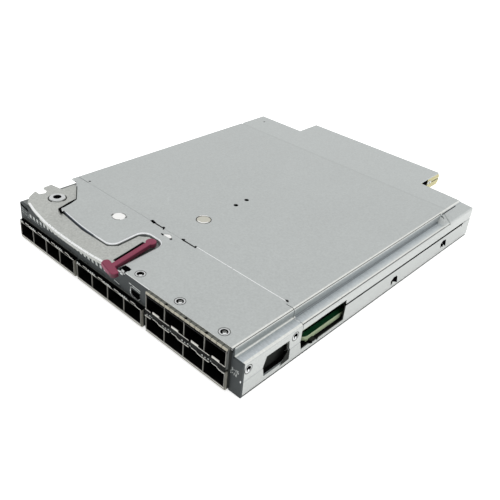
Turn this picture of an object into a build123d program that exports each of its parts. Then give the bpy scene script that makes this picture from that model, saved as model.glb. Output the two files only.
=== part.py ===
from build123d import *

import os
from math import atan2, cos, degrees, radians, sin

# Single-wide pass-through module of a blade enclosure, lying on its tray.
# Millimetres. X runs across the module, Y from the faceplate back to the rear connectors, Z up.
# The origin is the middle of the tray's underside.

# Overall body
body_width = 193.0
body_depth = 230.0
body_height = 26.1
sheet = 1.0                 # steel of the tray, the covers and the lever support
fold_radius = 0.6           # inside radius of the folds
joggle_radius = 0.15        # inside radius of the step pressed into the tray's right wall
sheet_gap = 0.3             # daylight between two sheets that don't touch
plate = 1.2                 # faceplate
touch = 0.1                 # clearance where a part is dropped in beside another

# Side rails: a low shoulder on the right, a thin lip on the left
shoulder_width = 6.7
shoulder_drop = 5.5         # from the covers' top down to the shoulder
lip_width = 2.8
ramp_length = 32.0          # the shoulder closes with a sloped end over this length
ramp_end_step = 5.5         # the cover's rear edge beside the tongue stands this far forward
ramp_seam = 0.4             # groove between the cover's top and its sloped end
joggle = sheet + 0.2        # the tray's right wall steps in behind the cover flanges
joggle_rise = 0.5           # height of that step
front_flange = 10.9         # side flange of the front cover
rear_flange = 7.3
wall_drop = 6.7             # from the covers' top down to the top of the tray's right wall

# Covers
front_cover_depth = 44.4    # left of the tabs; further back beyond them
seam_step_left = 113.4      # the seam between the covers jogs at these two stations
seam_step_right = 12.4      # this one is counted from the right side
seam_jog = 1.2
shoulder_seam = 43.8
cover_seam = 0.35
tongue_length = 21.6        # the rear cover runs on over the rear connectors
tongue_offset = 0.65        # its middle, to the right of the body's middle
tongue_margin = 0.55        # it reaches this far beyond the guide blocks

# Lever recess in the front cover
recess_depth = 2.4
recess_right = 101.2
rim_radius = 6.0
rim_rounding = 0.85

# Openings in the right side and the cover
window_low = 3.9
window_floor = 3.1          # lower edge of the long window, under the board
window_top_front = 3.5      # from the top of the wall down
window_top_rear = 2.7
board_tab_width = 3.4       # tab bent in under the board from the long window's edge
board_tab_place = 54.7
support_hole = 4.2          # cover hole over the front support post
rear_post_radius = 4.5

# Ports
port_pitch = 14.25
cage_wall = 0.4
cage_length = 48.0
cage_protrusion = 2.4       # cage mouths in front of the faceplate
lower_cage_bottom = 1.9
upper_cage_room = 0.3       # daylight between the upper gasket and the cover
port_margin_left = 1.5      # from the left wall to the first group
port_margin_right = 1.8     # from the last group to the shoulder
group_gap = 3.1             # between the first two groups
gasket_side = 0.5
gasket_edge = 1.1
latch_tab_width = 5.4
latch_tab_rise = 1.3
host_gap = 1.2              # from a port's wall to the connector at its back
host_depth = 9.0
host_height = 6.0
card_slot = 1.2

# Port lights
pipe_width = 3.2
pipe_height = 0.95
bar_pipe_height = 0.7

# Boards
port_board_thickness = 1.6
main_board_thickness = 2.4
main_board_gap = 4.4        # from the cages back to the main board
main_board_rear_gap = 9.0
main_board_corner = 4.0
board_lap = 12.0            # the port board reaches this far over the main board
board_margin = 0.8
film = 0.4                  # insulating film on the tray floor
film_margin = 2.0
standoff_height = 2.4
standoff_radius = 2.8
standoff_bore = 1.2
standoff_front = 35.0       # rows of standoffs, from the main board's two edges
standoff_rear = 21.0
standoff_side = 14.0        # outer columns, from the body's sides
screw_hole = 1.6
screw_head_radius = 2.6
screw_head_height = 1.6

# Parts on the main board
stack_width = 32.0          # stacking connectors between the boards
stack_depth = 6.0
stack_side = 36.0
chip_count = 8
chip_size = 12.0
chip_height = 1.8
chip_row = 50.0             # behind the main board's front edge
chip_side = 26.5
sink_depth = 18.0
sink_height = 10.0
sink_base = 2.0
sink_overhang = 8.0
fin_count = 6
fin_gap = 1.8
brick_width = 28.0          # power bricks
brick_depth = 22.0
brick_height = 9.0
brick_spread = 35.0
brick_row = 65.0            # before the rear of the body
can_radius = 2.0            # capacitors
can_height = 6.0
can_pitch = 5.0
can_spread = 10.0
can_row = 48.0

# Rear connectors
rear_block_width = 33.0
rear_block_gap = 0.6
rear_block_count = 3
rear_block_depth = 36.0
rear_nose_height = 12.8
rear_setback = 1.2          # mating face in front of the tongue's edge
contact_columns = 8
contact_rows = 3
contact_size = 2.2
guide_width = 5.6
guide_height = 8.6
guide_reach = 3.4           # prongs beyond the tongue's edge
guide_depth = 14.0          # inside the body
prong_gap = 0.8
prong_length = 11.0
prong_radius = 3.6

# Ejector lever
lever_thickness = 1.1
lever_pivot = (15.0, 18.8)
pivot_shaft_radius = 3.0
pivot_clearance = 0.06
rivet_bore = 1.5
rivet_flange = 1.9
lever_lobe_radius = 18.2
lever_flange = 1.7
grip_start = 28.5           # the folded grip runs between these stations
grip_end = 91.0
lever_play = 0.15           # above and below the lever

# Release latch
latch_pivot = (94.2, 28.4)
latch_pin_radius = 1.25
latch_end_radius = 3.1
latch_arm_width = 3.4
latch_thickness = 2.6
latch_head = (99.6, -3.9)
latch_head_length = 14.6
latch_head_width = 4.6
latch_head_turn = -14.0

# Screws
cover_screw_left = 113.3
cover_screw_right = 17.9    # from the body's right side
cover_screw_row = 5.3
cover_screw_head = 2.9
cover_screw_core = 1.5
side_screws = (3.9, 38.3)
side_screw_drop = 3.4       # from the top of the wall down
side_screw_head = 2.6
side_screw_core = 1.25
drive_radius = 1.2
drive_depth = 0.6

left = -body_width / 2
right = body_width / 2
front = -body_depth / 2
rear = body_depth / 2
under_cover = body_height - sheet
shoulder_height = body_height - shoulder_drop
front_flange_edge = shoulder_height - front_flange
rear_flange_edge = shoulder_height - rear_flange
wall_top = body_height - wall_drop
recess_floor = body_height - recess_depth
support_bottom = recess_floor - sheet
shell_front = front + plate
tray_left = left + lip_width
shoulder_x = right - shoulder_width
ramp_y = rear - ramp_length
seam_y = front + front_cover_depth
seam_back = seam_y + seam_jog
seam_steps = (seam_step_left, body_width - seam_step_right)
screw_middle = (cover_screw_left + body_width - cover_screw_right) / 2
screw_stations = (cover_screw_left, screw_middle, body_width - cover_screw_right)
cover_screws = [(x, cover_screw_row) for x in screw_stations]
side_screw_height = wall_top - side_screw_drop

# Two rows of cages and the board between them fill the height under the cover, and as
# many ports as fit make each of the three groups.
stack_room = under_cover - upper_cage_room - gasket_edge - lower_cage_bottom
cage_height = (stack_room - port_board_thickness - 2 * touch) / 2
ports_left = lip_width + sheet + port_margin_left
ports_right = body_width - shoulder_width - port_margin_right
group_room = (ports_right - ports_left - 2 * group_gap) / 3
port_count = int((group_room - cage_wall) / port_pitch)
cage_width = port_count * port_pitch + cage_wall
group_left = {
    "left": ports_left,
    "middle": ports_left + cage_width + group_gap,
    "right": ports_right - cage_width,
}
cage_front = front - cage_protrusion
cage_rear = cage_front + cage_length
lower_cage_top = lower_cage_bottom + cage_height
port_board_bottom = lower_cage_top + touch
port_board_top = port_board_bottom + port_board_thickness
upper_cage_bottom = port_board_top + touch
host_width = port_pitch - cage_wall - 2 * host_gap
pipe_z = port_board_top + 0.1 + pipe_height / 2
bar_pipe_z = (port_board_bottom + port_board_top) / 2
service_x = left + group_left["middle"] + cage_width - 11.6

main_board_front = cage_length - cage_protrusion + main_board_gap
main_board_rear = body_depth - main_board_rear_gap
main_board_left = lip_width + sheet + board_margin
main_board_right = body_width - joggle - sheet - board_margin
main_board_bottom = sheet + standoff_height
main_board_top = main_board_bottom + main_board_thickness
port_board_rear = main_board_front + board_lap
standoff_columns = (standoff_side, body_width / 2, body_width - standoff_side)
standoff_rows = (main_board_front + standoff_front, main_board_rear - standoff_rear)
standoff_spots = [(x, y) for x in standoff_columns for y in standoff_rows]

rear_block_pitch = rear_block_width + rear_block_gap
rear_blocks = rear_block_count * rear_block_pitch
tongue_middle = body_width / 2 + tongue_offset
tongue_half = rear_blocks / 2 + sheet_gap + guide_width + tongue_margin
tongue_left = tongue_middle - tongue_half
tongue_right = tongue_middle + tongue_half
tongue_tip = rear + tongue_length

rivet_shank = pivot_shaft_radius - 1.0
lever_bottom = recess_floor + lever_play
lever_top = lever_bottom + lever_thickness
latch_bottom = lever_top + lever_play


def spot(x, y):
    """Plan point given from the module's left side and from the faceplate."""
    return (left + x, front + y)


def block(x0, x1, y0, y1, z0, z1):
    """Rectangular block between two opposite corners."""
    middle = ((x0 + x1) / 2, (y0 + y1) / 2, (z0 + z1) / 2)
    return Pos(*middle) * Box(x1 - x0, y1 - y0, z1 - z0)


def post(x, y, radius, z0, z1):
    """Upright cylinder at a plan point."""
    return Pos(x, y, (z0 + z1) / 2) * Cylinder(radius, z1 - z0)


def prism(face, z0, z1):
    """Plan outline carried from z0 to z1."""
    return Pos(0, 0, z0) * extrude(face, amount=z1 - z0)


def polygon(points):
    return make_face(Polyline(*points, close=True))


def side_prism(points, x0, x1):
    """Outline in (y, z), carried from x0 to x1."""
    face = Plane.YZ * polygon(points)
    return Pos(x0, 0, 0) * extrude(face, amount=x1 - x0)


def front_prism(face, y0, y1):
    """Outline in (x, z), carried from y0 back to y1."""
    return Pos(0, y1, 0) * extrude(Plane.XZ * face, amount=y1 - y0)


def offset_left(path, distance):
    """Corners of a path moved to its left by one distance, met at mitres."""
    runs = [(Vector(*b) - Vector(*a)).normalized() for a, b in zip(path, path[1:])]
    normals = [Vector(-d.Y, d.X) for d in runs]
    moved = []
    for i, point in enumerate(path):
        before = normals[max(i - 1, 0)]
        after = normals[min(i, len(normals) - 1)]
        share = distance / (1 + before.dot(after))
        step = (before + after) * share
        moved.append((point[0] + step.X, point[1] + step.Y))
    return moved


def folded_sheet(path, y0, y1, pressed=()):
    """Sheet folded along the corners of its outer face in (x, z), with its thickness on
    the left of the path and round folds, running from y0 back to y1. The corners listed as
    pressed have the small radius of a step pressed into the sheet."""
    outer_radii = []
    inner_radii = []
    for i, (a, b, c) in enumerate(zip(path, path[1:], path[2:])):
        turn = (b[0] - a[0]) * (c[1] - b[1]) - (b[1] - a[1]) * (c[0] - b[0])
        outside = turn > 0
        radius = joggle_radius if i in pressed else fold_radius
        outer_radii.append(radius + (sheet if outside else 0))
        inner_radii.append(radius + (0 if outside else sheet))
    inner = offset_left(path, sheet)
    outline = FilletPolyline(*path, radius=outer_radii)
    outline += Line(path[-1], inner[-1])
    outline += FilletPolyline(*inner, radius=inner_radii)
    outline += Line(inner[0], path[0])
    return front_prism(make_face(outline.edges()), y0, y1)


def flat_screw(head_radius, core_radius, length):
    """Countersunk screw standing head up, with its head's top at the origin."""
    sink = head_radius - core_radius
    profile = Polyline(
        (drive_radius, 0),
        (head_radius, 0),
        (core_radius, -sink * 0.5),
        (core_radius, -length),
        (0, -length),
        (0, -drive_depth),
        (drive_radius, -drive_depth),
        close=True,
    )
    return revolve(Plane.XZ * make_face(profile), Axis.Z)


def screw_seat(head_radius, core_radius):
    """Cone cut for the head of a countersunk screw, mouth at the origin, facing up."""
    depth = (head_radius - core_radius) * 0.5
    return Pos(0, 0, -depth / 2) * Cone(core_radius + touch, head_radius + touch, depth)


def recess_path():
    """Edge of the front cover round the lever: a shallow bow, a round corner inwards, the
    pocket of the latch, and a straight side down to the faceplate."""
    corners = [
        spot(32.5, 11.9),
        spot(56.0, 9.4),
        spot(82.3, 9.9),
        spot(80.9, 34.6),
        spot(98.9, 34.2),
        spot(recess_right, 0),
    ]
    return FilletPolyline(*corners, radius=(150, rim_radius, rim_radius, rim_radius))


def recess_face():
    """Plan of the whole cut-out: the rim, the gap over the cam lobe and the open front."""
    rim = recess_path()
    start = rim @ 0
    end = rim @ 1
    lobe = [
        (start.X, start.Y),
        spot(29.3, 11.0),
        spot(25.9, 25.5),
        spot(12.0, 35.0),
        spot(5.0, 39.6),
        spot(-1, 39.6),
        spot(-1, -1),
        spot(recess_right, -1),
        (end.X, end.Y),
    ]
    return make_face((rim + Polyline(*lobe)).edges())


side_window_front = [
    (14.8, front_flange_edge + 0.6),
    (15.9, window_low),
    (30.5, window_low),
    (34.3, window_low + 0.3 * (front_flange_edge - window_low)),
    (34.6, front_flange_edge - 0.7),
    (33.7, wall_top - window_top_front),
    (16.8, wall_top - window_top_front),
]
side_window_rear = [
    (43.6, wall_top - window_top_rear),
    (81.9, wall_top - window_top_rear),
    (82.3, rear_flange_edge - 0.8),
    (81.9, window_floor),
    (board_tab_place + board_tab_width + 1.6, window_floor),
    (board_tab_place + board_tab_width + 1.0, window_floor - 0.9),
    (board_tab_place + board_tab_width, window_floor - 0.9),
    (board_tab_place + board_tab_width, window_floor - 0.2),
    (board_tab_place, window_floor - 0.2),
    (board_tab_place, window_floor - 0.9),
    (board_tab_place - 1.6, window_floor - 0.4),
    (board_tab_place - 3.6, window_low),
    (44.6, window_low),
    (43.4, front_flange_edge - 0.4),
]


def window(points):
    """Opening through both layers of the right side, from (y, z) points."""
    outline = [(front + y, z) for y, z in points]
    return side_prism(outline, right - 3 * joggle, right + sheet)


def louvre(y):
    """Small three-cornered punched vent in the right wall."""
    outline = [
        (front + y - 3.2, window_low + 2.3),
        (front + y + 2.6, window_low + 4.6),
        (front + y + 0.6, window_low),
    ]
    return side_prism(outline, right - 2 * sheet, right + sheet)


def side_hole(y, radius, x_side):
    """Hole across a side wall for a cover screw."""
    return Pos(x_side, front + y, side_screw_height) * Rot(0, 90, 0) * Cylinder(radius, 6 * sheet)


def base_tray():
    """Folded tray: left wall with an outward lip, floor, and a right wall that steps in
    behind the flanges of the covers."""
    side_seam = front + shoulder_seam
    steps = ((shell_front, side_seam, front_flange_edge), (side_seam, rear, rear_flange_edge))
    tray = None
    for y0, y1, edge in steps:
        path = [
            (left, under_cover - sheet),
            (tray_left, under_cover - sheet),
            (tray_left, 0),
            (right, 0),
            (right, edge - joggle_rise),
            (right - joggle, edge),
            (right - joggle, wall_top),
        ]
        run = folded_sheet(path, y0, y1, pressed=(3, 4))
        tray = run if tray is None else tray + run
    lever_zone = block(left - 1, tray_left + 2, front, side_seam, support_bottom - sheet_gap / 2, body_height)
    tray -= lever_zone
    left_end = block(tray_left, left + tongue_left, rear - sheet, rear, 0, under_cover)
    right_end = block(
        left + tongue_right + sheet_gap,
        shoulder_x - sheet - sheet_gap,
        rear - ramp_end_step - sheet,
        rear - ramp_end_step,
        0,
        under_cover,
    )
    corner_end = block(shoulder_x, right - joggle - sheet, rear - sheet, rear, sheet / 2, wall_top)
    tray += left_end + right_end + corner_end
    tray -= window(side_window_front) + window(side_window_rear)
    tray -= louvre(body_depth - 96.0) + louvre(body_depth - 36.0)
    tab_y = front + board_tab_place
    tab_x = left + main_board_right - 1.5
    tab_z = window_floor - sheet
    tray += block(tab_x, right - sheet / 2, tab_y, tab_y + board_tab_width, tab_z, main_board_bottom - touch)
    for y in side_screws:
        tray -= side_hole(y, side_screw_core, right)
    return tray


def cover_profile(edge, sloped=False):
    """Outer corners of a cover from the foot of its side flange to its left edge."""
    shoulder = [(right, edge), (right, shoulder_height)]
    if not sloped:
        shoulder.append((shoulder_x, shoulder_height))
    return shoulder + [(shoulder_x, body_height), (left, body_height)]


def seam_cut(play, side):
    """What lies behind the stepped seam (side 0) or before it (side 1), kept back by play."""
    stations = (left - 1, left + seam_steps[0], left + seam_steps[1], right + 1)
    lines = (seam_y, seam_back, front + shoulder_seam)
    cut = None
    for x0, x1, y in zip(stations, stations[1:], lines):
        y0, y1 = (seam_y - 20, y + play) if side else (y + play, seam_back + 20)
        piece = block(x0, x1, y0, y1, front_flange_edge - 2, body_height + 5)
        cut = piece if cut is None else cut + piece
    return cut


def front_cover():
    """Front cover with the raised rim of the lever recess and dished screw seats."""
    cover = folded_sheet(cover_profile(front_flange_edge + sheet_gap / 2), shell_front, seam_back)
    cover -= seam_cut(0, 0)
    opening = recess_face()
    cover -= prism(opening, under_cover - sheet, body_height + sheet)
    rim = offset(opening, amount=sheet) - opening
    rim_zone = block(left + 33.0, right, shell_front, seam_y, recess_floor, body_height)
    cover += prism(rim, recess_floor, body_height) & rim_zone
    rim_edges = [
        edge
        for edge in cover.edges().group_by(Axis.Z)[-1]
        if front + 8 < edge.center().Y < front + 35.5 and left + 40 < edge.center().X < left + 99
    ]
    cover = fillet(rim_edges, rim_rounding)
    x, y = spot(58.5, 33.3)
    cover -= post(x, y, support_hole, 0, body_height + sheet)
    for x, y in [spot(*s) for s in cover_screws]:
        cover -= post(x, y, cover_screw_core + touch, under_cover - 1, body_height + 1)
        cover -= Pos(x, y, body_height) * screw_seat(cover_screw_head, cover_screw_core)
    vent = polygon([spot(90.2, 39.8), spot(98.0, 40.2), spot(95.6, 42.6), spot(93.2, 42.9)])
    cover -= prism(vent, under_cover - 1, body_height + 1)
    cover -= window(side_window_front) + window(side_window_rear)
    for y in side_screws:
        cover -= side_hole(y, side_screw_core + touch, right)
        seat = screw_seat(side_screw_head, side_screw_core)
        cover -= Pos(right, front + y, side_screw_height) * Rot(0, 90, 0) * seat
    x, y = spot(102.0, 0)
    cover -= block(x, x + 5.2, y, y + 4.4, under_cover - 1, body_height + 1)
    return cover


def rear_cover():
    """Rear cover with the shoulder, its sloped end, and the tongue over the connectors."""
    start = front + shoulder_seam + cover_seam / 2
    edge = rear_flange_edge + sheet_gap
    cover = folded_sheet(cover_profile(edge), start, ramp_y)
    cover += folded_sheet(cover_profile(edge, sloped=True), ramp_y, rear)
    cover += block(left + tongue_left, left + tongue_right, rear - 1, tongue_tip, under_cover, body_height)
    gusset = side_prism(
        [
            (ramp_y - 7.0, shoulder_height - sheet / 2),
            (ramp_y - 2.0, body_height),
            (ramp_y + 0.8, body_height),
            (ramp_y + 0.8, shoulder_height - sheet / 2),
        ],
        shoulder_x - sheet / 2,
        right - sheet / 2,
    )
    slope = polygon(
        [
            (shoulder_x - sheet / 2, shoulder_height - sheet / 2),
            (shoulder_x - sheet / 2, body_height - 0.2),
            (shoulder_x, body_height - 0.2),
            (right - 0.4, shoulder_height - 0.1),
            (right - 0.4, shoulder_height - sheet / 2),
        ]
    )
    cover += gusset & front_prism(slope, ramp_y - 8, ramp_y + 6)
    step_back = polygon(
        [
            (left + tongue_right, rear - ramp_end_step),
            (shoulder_x - 1.8, rear - ramp_end_step - 1.8),
            (shoulder_x + 0.4, rear - ramp_end_step - 2.6),
            (right - sheet / 2, rear + touch),
            (left + tongue_right, rear + touch),
        ]
    )
    cover -= prism(step_back, shoulder_height - sheet, body_height + 1)
    cover -= seam_cut(cover_seam, 1)
    cover -= block(shoulder_x + 0.4, shoulder_x + 2.8, ramp_y - 3.6, ramp_y - 2.8, 15, body_height)
    seam_x = shoulder_x + 0.5
    groove_floor = body_height - 0.6 * sheet
    cover -= block(seam_x, seam_x + ramp_seam, ramp_y - 2.4, ramp_y + 16.0, groove_floor, body_height + 1)
    round_holes = (
        (93.7, 70.0, rear_post_radius + sheet_gap),
        (93.6, 98.4, 1.3),
        (93.4, 108.8, 1.3),
        (9.0, body_depth - 9.0, 0.8),
        (10.2, 46.5, 0.8),
    )
    for x, y, radius in round_holes:
        px, py = spot(x, y)
        cover -= post(px, py, radius, under_cover - 1, body_height + 1)
    for x0, x1 in ((75.0, 86.0), (seam_steps[0] - 11.2, seam_steps[0])):
        tab = block(left + x0, left + x1, seam_y - 1, seam_y + 0.8, under_cover - 1, body_height + 1)
        for x in (x0, x1 - 1.4):
            tab += block(left + x, left + x + 1.4, seam_y - 1, seam_y + 1.8, under_cover - 1, body_height + 1)
        cover -= tab
    x, y = spot(seam_steps[1] - 1.3, front_cover_depth + seam_jog)
    cover -= post(x, y + cover_seam, 1.2, under_cover - 1, body_height + 1)
    x, y = spot(0, body_depth - 26.0)
    cover -= block(x - 1, x + 1.2, y - 1.0, y + 1.0, under_cover - 1, body_height + 1)
    cover -= window(side_window_rear)
    return cover


def lever_support():
    """Flat plate under the lever, on which the recess rim and the lever rest."""
    outline = [
        spot(lip_width, plate + touch),
        spot(recess_right + 2.0, plate + touch),
        spot(recess_right + 2.0, shoulder_seam - 0.2),
        spot(lip_width, shoulder_seam - 0.2),
    ]
    support = prism(polygon(outline), support_bottom, recess_floor)
    x, y = spot(58.5, 33.3)
    support -= post(x, y, support_hole - 1.0, 0, body_height)
    x, y = spot(93.2, 15.0)
    slot = Pos(x, y, 0) * Rot(0, 0, 96) * SlotOverall(19.0, 4.0)
    support -= prism(slot, support_bottom - 1, recess_floor + 1)
    x, y = spot(*lever_pivot)
    support -= post(x, y, rivet_shank + touch / 2, 0, body_height)
    return support


def mini_port_hole(grow=0.0):
    """Opening of the small service port, in (x, z): flat top, tapered lower corners."""
    x0 = service_x - grow
    x1 = service_x + 8.2 + grow
    z0 = port_board_top + 0.5 - grow
    z1 = z0 + 3.9 + 2 * grow
    return polygon([(x0, z1), (x0, z0 + 1.6), (x0 + 1.2, z0), (x1 - 1.2, z0), (x1, z0 + 1.6), (x1, z1)])


def faceplate():
    """Dark front plate: comb of openings for the cages, step for the right shoulder, and a
    return flange under the front cover that takes its screws."""
    outline = [
        (tray_left, 0),
        (right, 0),
        (right, shoulder_height),
        (shoulder_x, shoulder_height),
        (shoulder_x, body_height),
        (left + recess_right, body_height),
        (left + recess_right, recess_floor),
        (tray_left, recess_floor),
    ]
    panel = front_prism(polygon(outline), front, shell_front)
    for name, x in group_left.items():
        top = upper_cage_bottom + cage_height + gasket_edge if name == "right" else lower_cage_top + 0.4
        x0 = left + x - gasket_side
        x1 = left + x + cage_width + gasket_side
        panel -= block(x0, x1, front - 1, shell_front + 1, -1, top)
    panel -= front_prism(mini_port_hole(0.25), front - 1, shell_front + 1)
    for name in ("left", "middle"):
        for x in pipe_stations(name):
            panel -= block(
                x - pipe_width / 2 - touch,
                x + pipe_width / 2 + touch,
                front - 1,
                shell_front + 1,
                pipe_z - pipe_height / 2 - touch,
                pipe_z + pipe_height / 2 + touch,
            )
    flange_top = under_cover
    flange = block(
        left + recess_right + 3.0,
        shoulder_x - 2 * sheet,
        shell_front,
        front + 9.0,
        flange_top - sheet,
        flange_top,
    )
    for x, y in [spot(*s) for s in cover_screws]:
        flange -= post(x, y, cover_screw_core, 0, body_height)
    x, y = spot(102.0, 0)
    keeper_room = block(x, x + 5.2, y - 1, y + 4.4, recess_floor, body_height + 1)
    return panel + flange - keeper_room


def cage(x, bottom, upper):
    """Row of ports from thin sheet. A lower cage hangs under its board with its latch tabs
    at the top; the upper one stands on the board with its tabs at the bottom."""
    x0 = left + x
    shell = block(x0, x0 + cage_width, cage_front, cage_rear, bottom, bottom + cage_height)
    z0 = bottom + cage_wall
    z1 = bottom + cage_height - cage_wall
    for i in range(port_count):
        port_x = x0 + cage_wall + i * port_pitch
        port_w = port_pitch - cage_wall
        shell -= block(port_x, port_x + port_w, cage_front - 1, cage_rear - cage_wall, z0, z1)
        middle = port_x + port_w / 2
        board_z = bottom if upper else bottom + cage_height
        shell -= block(
            middle - host_width / 2 - touch,
            middle + host_width / 2 + touch,
            cage_rear - host_depth - 2.0,
            cage_rear + 1,
            board_z - 2 * cage_wall,
            board_z + 2 * cage_wall,
        )
        tab_y = cage_front + 1.0
        tab_z0 = z0 if upper else z1 - latch_tab_rise
        shell += block(
            middle - latch_tab_width / 2,
            middle + latch_tab_width / 2,
            tab_y,
            tab_y + cage_wall,
            tab_z0 - (0.1 if upper else 0),
            tab_z0 + latch_tab_rise + (0 if upper else 0.1),
        )
    return shell


def gasket(x, bottom, upper):
    """Spring-finger strip round a cage mouth, slotted into fingers along its free edge."""
    x0 = left + x
    y0 = cage_front + 0.3
    y1 = front - sheet_gap / 2
    top = bottom + cage_height
    low = bottom - (touch / 2 if upper else gasket_edge)
    high = top + (gasket_edge if upper else touch / 2)
    ring = block(x0 - gasket_side, x0 + cage_width + gasket_side, y0, y1, low, high)
    ring -= block(x0, x0 + cage_width, y0 - 1, y1 + 1, bottom, top)
    if not upper:
        step = block(x0 - gasket_side, x0 + cage_width + gasket_side, y0, y1, top, high)
        ring += step
    edge = high if upper else low
    for i in range(4 * port_count - 1):
        finger_x = x0 + (i + 1) * port_pitch / 4
        ring -= block(finger_x - 0.2, finger_x + 0.2, y0 - 1, y1 - 0.6, edge - 0.5, edge + 0.5)
    return ring


def host_connectors(x, board_z, upper):
    """Board connectors at the back of the ports, each with its card slot."""
    solids = []
    slot_half = host_width * 0.4
    for i in range(port_count):
        middle = left + x + cage_wall + i * port_pitch + (port_pitch - cage_wall) / 2
        y1 = cage_rear - cage_wall - 1.0
        y0 = y1 - host_depth
        z0 = board_z if upper else board_z - host_height
        body = block(middle - host_width / 2, middle + host_width / 2, y0, y1, z0, z0 + host_height)
        slot_z = z0 + (host_height - card_slot) / 2
        slot = block(middle - slot_half, middle + slot_half, y0 - 1, y0 + 5.0, slot_z, slot_z + card_slot)
        body -= slot
        solids.append(body)
    return Compound(children=solids)


def port_board():
    """Board between the two rows of cages, on which the small service port sits too."""
    low = spot(main_board_left, plate + sheet_gap)
    high = spot(main_board_right, port_board_rear)
    board = block(low[0], high[0], low[1], high[1], port_board_bottom, port_board_top)
    return fillet(board.edges().filter_by(Axis.Z), 1.0)


def main_board_outline():
    low = spot(main_board_left, main_board_front)
    high = spot(main_board_right, main_board_rear)
    outline = polygon([low, (high[0], low[1]), high, (low[0], high[1])])
    return fillet(outline.vertices(), main_board_corner)


def main_board():
    """Thick board behind the cages, drilled for its screws."""
    board = prism(main_board_outline(), main_board_bottom, main_board_top)
    for x, y in [spot(*s) for s in standoff_spots]:
        board -= post(x, y, screw_hole, 0, body_height)
    return board


def insulator():
    """Thin film between the board and the tray floor, with holes round the standoffs."""
    low = spot(main_board_left + film_margin, main_board_front + film_margin)
    high = spot(main_board_right - film_margin, main_board_rear - film_margin)
    film_sheet = block(low[0], high[0], low[1], high[1], sheet, sheet + film)
    for x, y in [spot(*s) for s in standoff_spots]:
        hexagon = Pos(x, y, 0) * RegularPolygon(standoff_radius + 5 * touch, 6)
        film_sheet -= prism(hexagon, 0, body_height)
    return film_sheet


def standoffs():
    """Hexagonal standoffs pressed into the tray floor."""
    solids = []
    for x, y in [spot(*s) for s in standoff_spots]:
        hexagon = Pos(x, y, 0) * RegularPolygon(standoff_radius, 6)
        stand = prism(hexagon, sheet, main_board_bottom) - post(x, y, standoff_bore, 0, body_height)
        solids.append(stand)
    return Compound(children=solids)


def board_screws():
    """Hexagon-headed screws that hold the main board on its standoffs."""
    solids = []
    for x, y in [spot(*s) for s in standoff_spots]:
        hexagon = Pos(x, y, 0) * RegularPolygon(screw_head_radius, 6)
        head = prism(hexagon, main_board_top, main_board_top + screw_head_height)
        solids.append(head + post(x, y, standoff_bore - touch / 5, sheet + touch, main_board_top))
    return Compound(children=solids)


def mezzanine_connectors():
    """Stacking connectors between the main board and the port board."""
    solids = []
    for x in (stack_side, body_width / 2, body_width - stack_side):
        px, py = spot(x, main_board_front + board_lap / 2)
        low = (px - stack_width / 2, py - stack_depth / 2)
        high = (px + stack_width / 2, py + stack_depth / 2)
        solids.append(block(low[0], high[0], low[1], high[1], main_board_top, port_board_bottom))
    return Compound(children=solids)


def retimers():
    """Row of signal chips, one for each pair of ports."""
    solids = []
    pitch = (body_width - 2 * chip_side) / (chip_count - 1)
    half = chip_size / 2
    for i in range(chip_count):
        px, py = spot(chip_side + i * pitch, main_board_front + chip_row)
        chip = block(px - half, px + half, py - half, py + half, main_board_top, main_board_top + chip_height)
        solids.append(chip)
    return Compound(children=solids)


def heat_sink():
    """Finned aluminium bar across the signal chips."""
    x0, y0 = spot(chip_side - sink_overhang, main_board_front + chip_row - sink_depth / 2)
    x1 = x0 + body_width - 2 * (chip_side - sink_overhang)
    y1 = y0 + sink_depth
    z0 = main_board_top + chip_height
    sink = block(x0, x1, y0, y1, z0, z0 + sink_height)
    pitch = sink_depth / fin_count
    for i in range(fin_count - 1):
        y = y0 + (i + 1) * pitch
        sink -= block(x0 - 1, x1 + 1, y - fin_gap / 2, y + fin_gap / 2, z0 + sink_base, z0 + sink_height + 1)
    return sink


def power_converters():
    """Two board-mounted power bricks near the rear connectors."""
    solids = []
    for side in (-1, 1):
        px, py = spot(body_width / 2 + side * brick_spread, body_depth - brick_row)
        low = (px - brick_width / 2, py - brick_depth / 2)
        high = (px + brick_width / 2, py + brick_depth / 2)
        brick = block(low[0], high[0], low[1], high[1], main_board_top, main_board_top + brick_height)
        solids.append(fillet(brick.edges().filter_by(Axis.Z), brick_width / 20))
    return Compound(children=solids)


def capacitors():
    """Can capacitors beside the power bricks."""
    solids = []
    for side in (-1, 1):
        for i in range(3):
            px, py = spot(body_width / 2 + side * (can_spread + i * can_pitch), body_depth - can_row)
            solids.append(post(px, py, can_radius, main_board_top, main_board_top + can_height))
    return Compound(children=solids)


def rear_block_left(i):
    return left + tongue_middle + (i - rear_block_count / 2) * rear_block_pitch


def rear_connector(i):
    """Backplane connector: a block on the board whose nose stands out under the tongue,
    with rows of contact openings in its rear face."""
    x0 = rear_block_left(i) + rear_block_gap / 2
    x1 = x0 + rear_block_width
    y1 = tongue_tip - rear_setback
    z1 = under_cover - sheet_gap
    nose_bottom = z1 - rear_nose_height
    body = block(x0, x1, y1 - rear_block_depth, y1, main_board_top, z1)
    body -= block(x0 - 1, x1 + 1, rear + sheet_gap, y1 + 1, main_board_top - 1, nose_bottom)
    step_x = rear_block_width / contact_columns
    step_z = rear_nose_height / contact_rows
    half = contact_size / 2
    for c in range(contact_columns):
        for r in range(contact_rows):
            x = x0 + (c + 0.5) * step_x
            z = nose_bottom + (r + 0.5) * step_z
            body -= block(x - half, x + half, y1 - 2 * contact_size, y1 + 1, z - half, z + half)
    return body


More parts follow.
